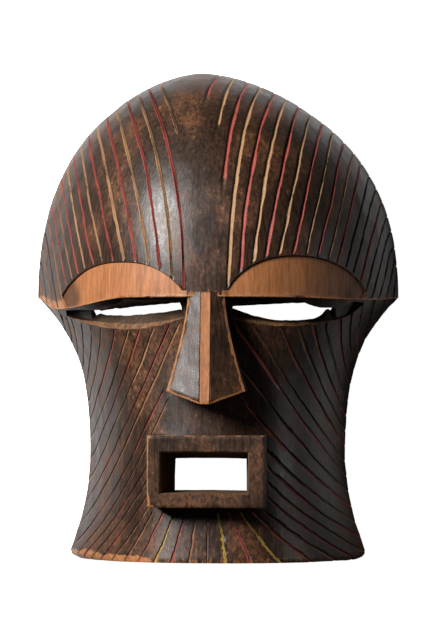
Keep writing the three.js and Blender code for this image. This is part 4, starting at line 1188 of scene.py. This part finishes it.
def worn_edge_group():
    """A ragged mask: the wear on the surface plus flecks, cut at a threshold."""
    group, start, end = new_group(
        "worn edge",
        [("Wear", "NodeSocketFloat", 0.0), ("Flecks", "NodeSocketFloat", 0.5),
         ("Streaks", "NodeSocketFloat", 0.5), ("Raggedness", "NodeSocketFloat", 1.0)],
        [("Mask", "NodeSocketFloat")],
    )
    w = Wiring(group)
    flecks = w.math("SUBTRACT", start.outputs["Flecks"], 0.5)
    streaks = w.math("SUBTRACT", start.outputs["Streaks"], 0.5)
    rough = w.math("MULTIPLY", w.math("ADD", flecks, streaks), start.outputs["Raggedness"])
    w.put(w.ramp(w.math("ADD", start.outputs["Wear"], rough), 0.32, 0.6), end.inputs["Mask"])
    return group


def painted_groove_group():
    """Lays pigment over a base colour where the amount is high, broken by flecks."""
    group, start, end = new_group(
        "painted groove",
        [("Base", "NodeSocketColor", None), ("Pigment", "NodeSocketColor", None),
         ("Amount", "NodeSocketFloat", 0.0), ("Flecks", "NodeSocketFloat", 0.5),
         ("Blotches", "NodeSocketFloat", 0.5)],
        [("Color", "NodeSocketColor"), ("Mask", "NodeSocketFloat")],
    )
    w = Wiring(group)
    flecks = w.math("MULTIPLY", w.math("SUBTRACT", start.outputs["Flecks"], 0.5), 1.5)
    blotches = w.math("MULTIPLY", w.math("SUBTRACT", start.outputs["Blotches"], 0.5), 0.6)
    value = w.math("ADD", start.outputs["Amount"], w.math("ADD", flecks, blotches))
    mask = w.ramp(value, 0.42, 0.8)
    base, pigment = start.outputs["Base"], start.outputs["Pigment"]
    tint = w.mixed(w.ramp(start.outputs["Flecks"], 0.42, 0.66), pigment, base)
    tint = w.mixed(0.72, tint, pigment)
    w.put(w.mixed(w.math("MULTIPLY", mask, 0.92), base, tint), end.inputs["Color"])
    w.put(mask, end.inputs["Mask"])
    return group


def placed(w, group, **values):
    """Places a node group in the tree with these values or links on its inputs."""
    node = w.node("ShaderNodeGroup")
    node.node_tree = group
    for label, value in values.items():
        w.put(value, node.inputs[label])
    return node


def colour(value):
    """A colour property as the four numbers a socket takes."""
    return (value[0], value[1], value[2], 1.0)


def stained_wood(colours, grain, worn, painted):
    """The mask's one finish: dark stain with worn edges and patches, bare lids and ridge, pigment in
    the grooves, the plain brown wood of the hollow, and painted shade in cuts and under edges."""
    material = bpy.data.materials.new("stained_wood")
    material.use_nodes = True
    tree = material.node_tree
    w = Wiring(tree)
    shader = tree.nodes["Principled BSDF"]
    place = w.node("ShaderNodeTexCoord").outputs["Object"]
    wood = placed(w, grain, Vector=place)
    streaks, blotches, flecks = (wood.outputs[label] for label in ("Streaks", "Blotches", "Flecks"))
    finish = w.node("ShaderNodeAttribute", attribute_name="finish")
    parts = w.node("ShaderNodeSeparateColor")
    w.put(finish.outputs["Color"], parts.inputs[0])
    wear, bare, shade = parts.outputs
    hollow = finish.outputs["Alpha"]
    pigment = w.node("ShaderNodeAttribute", attribute_name="pigment")

    stain = w.mixed(w.ramp(streaks, 0.34, 0.66), colour(colours.stain_dark), colour(colours.stain))
    patches = w.math("MULTIPLY", w.ramp(blotches, 0.44, 0.68), w.ramp(flecks, 0.34, 0.6))
    stain = w.mixed(w.math("MULTIPLY", patches, 0.65), stain, colour(colours.stain_worn))
    scars = w.math("MULTIPLY", w.ramp(flecks, 0.62, 0.72), w.ramp(blotches, 0.42, 0.6))
    stain = w.mixed(w.math("MULTIPLY", scars, 0.8), stain, colour(colours.worn))

    raw = w.mixed(w.ramp(streaks, 0.3, 0.7), colour(colours.bare_dark), colour(colours.bare))
    raw = w.mixed(w.math("MULTIPLY", w.ramp(blotches, 0.54, 0.75), 0.7), raw, colour(colours.bare_dark))
    smears = w.math("MULTIPLY", w.ramp(blotches, 0.6, 0.72), w.ramp(flecks, 0.46, 0.6))
    raw = w.mixed(w.math("MULTIPLY", smears, 0.7), raw, colour(colours.stain))
    edge = w.mixed(w.ramp(flecks, 0.35, 0.7), colour(colours.worn), colour(colours.bare_dark))

    mask = placed(w, worn, Wear=wear, Flecks=flecks, Streaks=streaks, Raggedness=1.4).outputs["Mask"]
    tint = w.mixed(w.ramp(bare, 0.35, 0.6), stain, raw)
    tint = w.mixed(mask, tint, edge)
    inner = w.mixed(w.ramp(streaks, 0.3, 0.7), colour(colours.hollow_dark), colour(colours.hollow))
    tint = w.mixed(w.math("SUBTRACT", hollow, w.math("MULTIPLY", mask, 0.6), limited=True), tint, inner)
    paint = placed(w, painted, Base=tint, Pigment=pigment.outputs["Color"], Amount=pigment.outputs["Alpha"],
                   Flecks=flecks, Blotches=blotches)
    # Painted shade: the finish's shade channel darkens the colour towards soot, for shadow in cuts and under
    # edges
    tint = w.mixed(w.math("MULTIPLY", shade, 0.75), paint.outputs["Color"], colour(colours.soot_and_shade))
    w.put(tint, shader.inputs["Base Color"])

    rough = w.math("ADD", w.ramp(blotches, 0.35, 0.7, 0.32, 0.45), w.ramp(flecks, 0.3, 0.7, -0.04, 0.08))
    rough = w.math("ADD", rough, w.math("MULTIPLY", w.math("MAXIMUM", bare, hollow), 0.2))
    rough = w.math("ADD", rough, w.math("MULTIPLY", paint.outputs["Mask"], 0.25), limited=True)
    w.put(rough, shader.inputs["Roughness"])
    bump = w.node("ShaderNodeBump")
    for label, value in (("Strength", 0.55), ("Distance", 0.35 * MM), ("Height", wood.outputs["Height"])):
        w.put(value, bump.inputs[label])
    w.put(bump.outputs[0], shader.inputs["Normal"])
    shader.inputs["Specular IOR Level"].default_value = 0.28
    return material


def length_property(name, description, default, least=0.0):
    return FloatProperty(name=name, description=description, default=default, min=least, unit="LENGTH")


def colour_property(name, description, default):
    return FloatVectorProperty(
        name=name, description=description, default=default, subtype="COLOR", min=0, max=1)


class MaskSizes(bpy.types.PropertyGroup):
    """Sizes of the carver's marks on the mask."""

    groove_width: length_property("Groove width", "Width of the painted grooves", 2.7 * MM, MM)
    groove_depth: length_property("Groove depth", "Depth of the painted grooves", 1.5 * MM)
    lid_sink: length_property("Lid sink", "How far the bare lids are set down", 1.6 * MM)
    scoop_size: length_property("Adze mark size", "Width of one adze mark", 12 * MM, MM)
    scoop_depth: length_property("Adze mark depth", "Depth of one adze mark", 0.8 * MM)
    chip: length_property("Chip depth", "Depth of the chips along the edges", 1.4 * MM)
    edge_rounding: length_property("Edge rounding", "How far sharp edges are worn down", 0.7 * MM)


class MaskColours(bpy.types.PropertyGroup):
    """Colours of the wood and of the pigments."""

    stain_dark: colour_property("Dark stain", "The stain where it lies thickest", (0.006, 0.0035, 0.0022))
    stain: colour_property("Stain", "The stain over most of the wood", (0.036, 0.0175, 0.0095))
    stain_worn: colour_property("Worn stain", "The stain where it is rubbed thin", (0.12, 0.047, 0.019))
    worn: colour_property("Worn edge", "Wood laid bare along edges", (0.29, 0.125, 0.046))
    bare: colour_property("Bare wood", "The lids and the nose's ridge", (0.31, 0.118, 0.040))
    bare_dark: colour_property("Dark bare wood", "The lids' darker grain", (0.15, 0.054, 0.019))
    hollow: colour_property("Hollow", "Wood of the hollow and the tunnel", (0.15, 0.082, 0.038))
    hollow_dark: colour_property("Dark hollow", "Darker grain in the hollow", (0.045, 0.026, 0.015))
    # Painted shade: this colour darkens groove walls, incised lines, the brow's underside, the eye slits and
    # the sides of the nose and mouth where shadow falls, and fills the dark grooves; in the lids it is dirt.
    soot_and_shade: colour_property("Soot", "Dirt in cuts and under edges", (0.006, 0.0045, 0.0035))
    red: colour_property("Red", "Red pigment in the grooves", (0.23, 0.039, 0.027))
    cream: colour_property("Cream", "Pale pigment in the grooves", (0.27, 0.145, 0.066))
    ochre: colour_property("Ochre", "Ochre pigment in the grooves", (0.18, 0.075, 0.03))
    yellow: colour_property("Yellow", "Yellow pigment under the mouth", (0.36, 0.22, 0.035))


class StageSizes(bpy.types.PropertyGroup):
    """The floor, the lights and the camera."""

    camera_distance: length_property("Camera distance", "From the mask's back plane to the camera", 2.2, 1)
    camera_turn: FloatProperty(
        name="Camera turn", description="How far the camera stands to the right", default=math.radians(4.16),
        subtype="ANGLE", unit="ROTATION")
    floor_colour: colour_property("Floor", "Colour of the floor", (0.92, 0.92, 0.92))
    floor_shaded: colour_property(
        "Dark floor", "The floor away from the mask, as the mask reflects it", (0.08, 0.08, 0.08))
    pool_radius: length_property(
        "Pool radius", "How far the floor round the mask's middle shines on it", 0.22, 0.05)
    floor_glow: FloatProperty(name="Floor glow", description="Light given by the floor", default=1.1, min=0)
    key_power: FloatProperty(name="Key light", description="Power of the main light", default=56, min=0)
    rim_power: FloatProperty(
        name="Rim light", description="Power of the light from the right", default=1.5, min=0)
    fill: FloatProperty(name="Fill", description="Strength of the light all round", default=0.03, min=0)


# The joined mask has at least this many polygons, and edges past this angle are drawn sharp
LEAST_POLYGONS = 50000
SHARP_ANGLE = math.radians(38)


class MESH_OT_kifwebe_mask(bpy.types.Operator):
    """Carve the mask: dome, face, nose and mouth joined, then hollowed and pierced"""

    bl_idname = "mesh.kifwebe_mask"
    bl_label = "Carved Mask"
    bl_options = {"REGISTER", "UNDO"}

    def execute(self, context):
        sizes = context.scene.mask_sizes
        colours = context.scene.mask_colours
        pigments = {"r": colours.red, "c": colours.cream, "o": colours.ochre, "y": colours.yellow,
                    "d": colours.soot_and_shade}
        pigments = {letter: tuple(value) for letter, value in pigments.items()}
        finish = stained_wood(colours, wood_grain_group(), worn_edge_group(), painted_groove_group())
        mask = dome_shell(sizes, pigments).build("carved_mask", [finish])
        joins = [
            face_shell(sizes, pigments).build("face", [finish]),
            nose_shell(sizes).build("nose", [finish]),
            mouth_shell(sizes).build("mouth", [finish]),
        ]
        cuts = [
            dome_hollow_shell().build("dome hollow", [finish]),
            face_hollow_shell().build("face hollow", [finish]),
            tunnel_shell().build("tunnel", [finish]),
            eye_shell(-1).build("left eye", [finish]),
            eye_shell(1).build("right eye", [finish]),
        ]
        joined_and_cut(mask, joins, cuts)
        heights = [corner[1] for corner in mask.bound_box]
        whole = max(heights) - min(heights) > 0.98 * (BOX_HIGH.y - BOX_LOW.y)
        if not whole or len(mask.data.polygons) < LEAST_POLYGONS:
            raise RuntimeError("the mask's solids didn't join")
        mask.data.shade_smooth()
        mask.data.set_sharp_from_angle(angle=SHARP_ANGLE)
        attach(mask, "root")
        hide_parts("mask")
        return {"FINISHED"}


class SCENE_OT_mask_stage(bpy.types.Operator):
    """Set up the pale floor, the studio lights and the camera that looks down on the lying mask"""

    bl_idname = "scene.mask_stage"
    bl_label = "Stage"
    bl_options = {"REGISTER", "UNDO"}

    def execute(self, context):
        stage = context.scene.mask_stage
        self.floor(stage)
        self.lights(stage)
        self.camera(stage)
        context.scene.view_settings.view_transform = "Standard"
        return {"FINISHED"}

    def floor(self, stage):
        half = 4.0
        mesh = bpy.data.meshes.new("floor")
        corners = [(x * half, y * half, 0) for x, y in ((-1, -1), (1, -1), (1, 1), (-1, 1))]
        mesh.from_pydata(corners, [], [(0, 1, 2, 3)])
        floor = bpy.data.objects.new("floor", mesh)
        bpy.context.scene.collection.objects.link(floor)
        material = bpy.data.materials.new("pale floor")
        material.use_nodes = True
        shader = material.node_tree.nodes["Principled BSDF"]
        w = Wiring(material.node_tree)
        # The floor shows two colours: to the camera it is pale and glows evenly; in what the mask reflects
        # it is painted dark, with a painted pool of light round the mask's middle that gives the steep sides
        # a sheen.
        place = w.stretched(w.node("ShaderNodeTexCoord").outputs["Object"], (1, 0.75, 1))
        reach = w.node("ShaderNodeVectorMath", operation="LENGTH")
        w.put(place, reach.inputs[0])
        core, brightness = 0.7 * stage.pool_radius, 0.7
        pool = w.ramp(reach.outputs["Value"], core, stage.pool_radius, brightness, 0.0)
        seen = w.node("ShaderNodeLightPath").outputs["Is Camera Ray"]
        pale = colour(stage.floor_colour)
        lit = w.math("MAXIMUM", seen, pool)
        w.put(w.mixed(lit, colour(stage.floor_shaded), pale), shader.inputs["Base Color"])
        w.put(w.mixed(seen, (0, 0, 0, 1), pale), shader.inputs["Emission Color"])
        shader.inputs["Roughness"].default_value = 0.9
        shader.inputs["Emission Strength"].default_value = stage.floor_glow
        mesh.materials.append(material)

    def area(self, name, direction, distance, size, power):
        data = bpy.data.lights.new(name, "AREA")
        data.energy = power
        data.size = size
        light = bpy.data.objects.new(name, data)
        bpy.context.scene.collection.objects.link(light)
        direction = Vector(direction).normalized()
        light.location = direction * distance
        light.rotation_euler = direction.to_track_quat("Z", "Y").to_euler()

    def lights(self, stage):
        self.area("key light", (-0.55, 0.39, 0.74), distance=1.5, size=0.45, power=stage.key_power)
        self.area("rim light", (1.0, 0.05, 0.1), distance=1.3, size=0.25, power=stage.rim_power)
        world = bpy.data.worlds.new("soft room")
        world.use_nodes = True
        background = world.node_tree.nodes["Background"]
        background.inputs["Color"].default_value = (1, 1, 1, 1)
        background.inputs["Strength"].default_value = stage.fill
        bpy.context.scene.world = world

    def camera(self, stage):
        data = bpy.data.cameras.new("camera")
        image_height = 640
        pixels_per_metre = 1309.3
        data.lens = pixels_per_metre * stage.camera_distance * data.sensor_width / image_height
        data.clip_end = 20
        camera = bpy.data.objects.new("camera", data)
        bpy.context.scene.collection.objects.link(camera)
        aim = Vector((-3 * MM, -3 * MM, 0))
        turn = stage.camera_turn
        camera.location = aim + stage.camera_distance * Vector((math.sin(turn), 0, math.cos(turn)))
        camera.rotation_euler = Euler((0, turn, 0))
        bpy.context.scene.camera = camera


class VIEW3D_PT_kifwebe_mask(bpy.types.Panel):
    """Lists the mask's operators with their sizes and colours"""

    bl_label = "Kifwebe Mask"
    bl_space_type = "VIEW_3D"
    bl_region_type = "UI"
    bl_category = "Mask"

    def draw(self, context):
        layout = self.layout
        scene = context.scene
        for settings in (scene.mask_sizes, scene.mask_colours, scene.mask_stage):
            column = layout.column(align=True)
            for name in settings.__annotations__:
                column.prop(settings, name)
        layout.operator(MESH_OT_kifwebe_mask.bl_idname)
        layout.operator(SCENE_OT_mask_stage.bl_idname)


CLASSES = (MaskSizes, MaskColours, StageSizes, MESH_OT_kifwebe_mask, SCENE_OT_mask_stage,
           VIEW3D_PT_kifwebe_mask)


def register():
    for item in CLASSES:
        bpy.utils.register_class(item)
    bpy.types.Scene.mask_sizes = PointerProperty(type=MaskSizes)
    bpy.types.Scene.mask_colours = PointerProperty(type=MaskColours)
    bpy.types.Scene.mask_stage = PointerProperty(type=StageSizes)


def unregister():
    del bpy.types.Scene.mask_stage
    del bpy.types.Scene.mask_colours
    del bpy.types.Scene.mask_sizes
    for item in reversed(CLASSES):
        bpy.utils.unregister_class(item)


def main():
    register()
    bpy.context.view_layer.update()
    bpy.ops.mesh.kifwebe_mask()
    bpy.ops.scene.mask_stage()


if __name__ == "__main__":
    main()
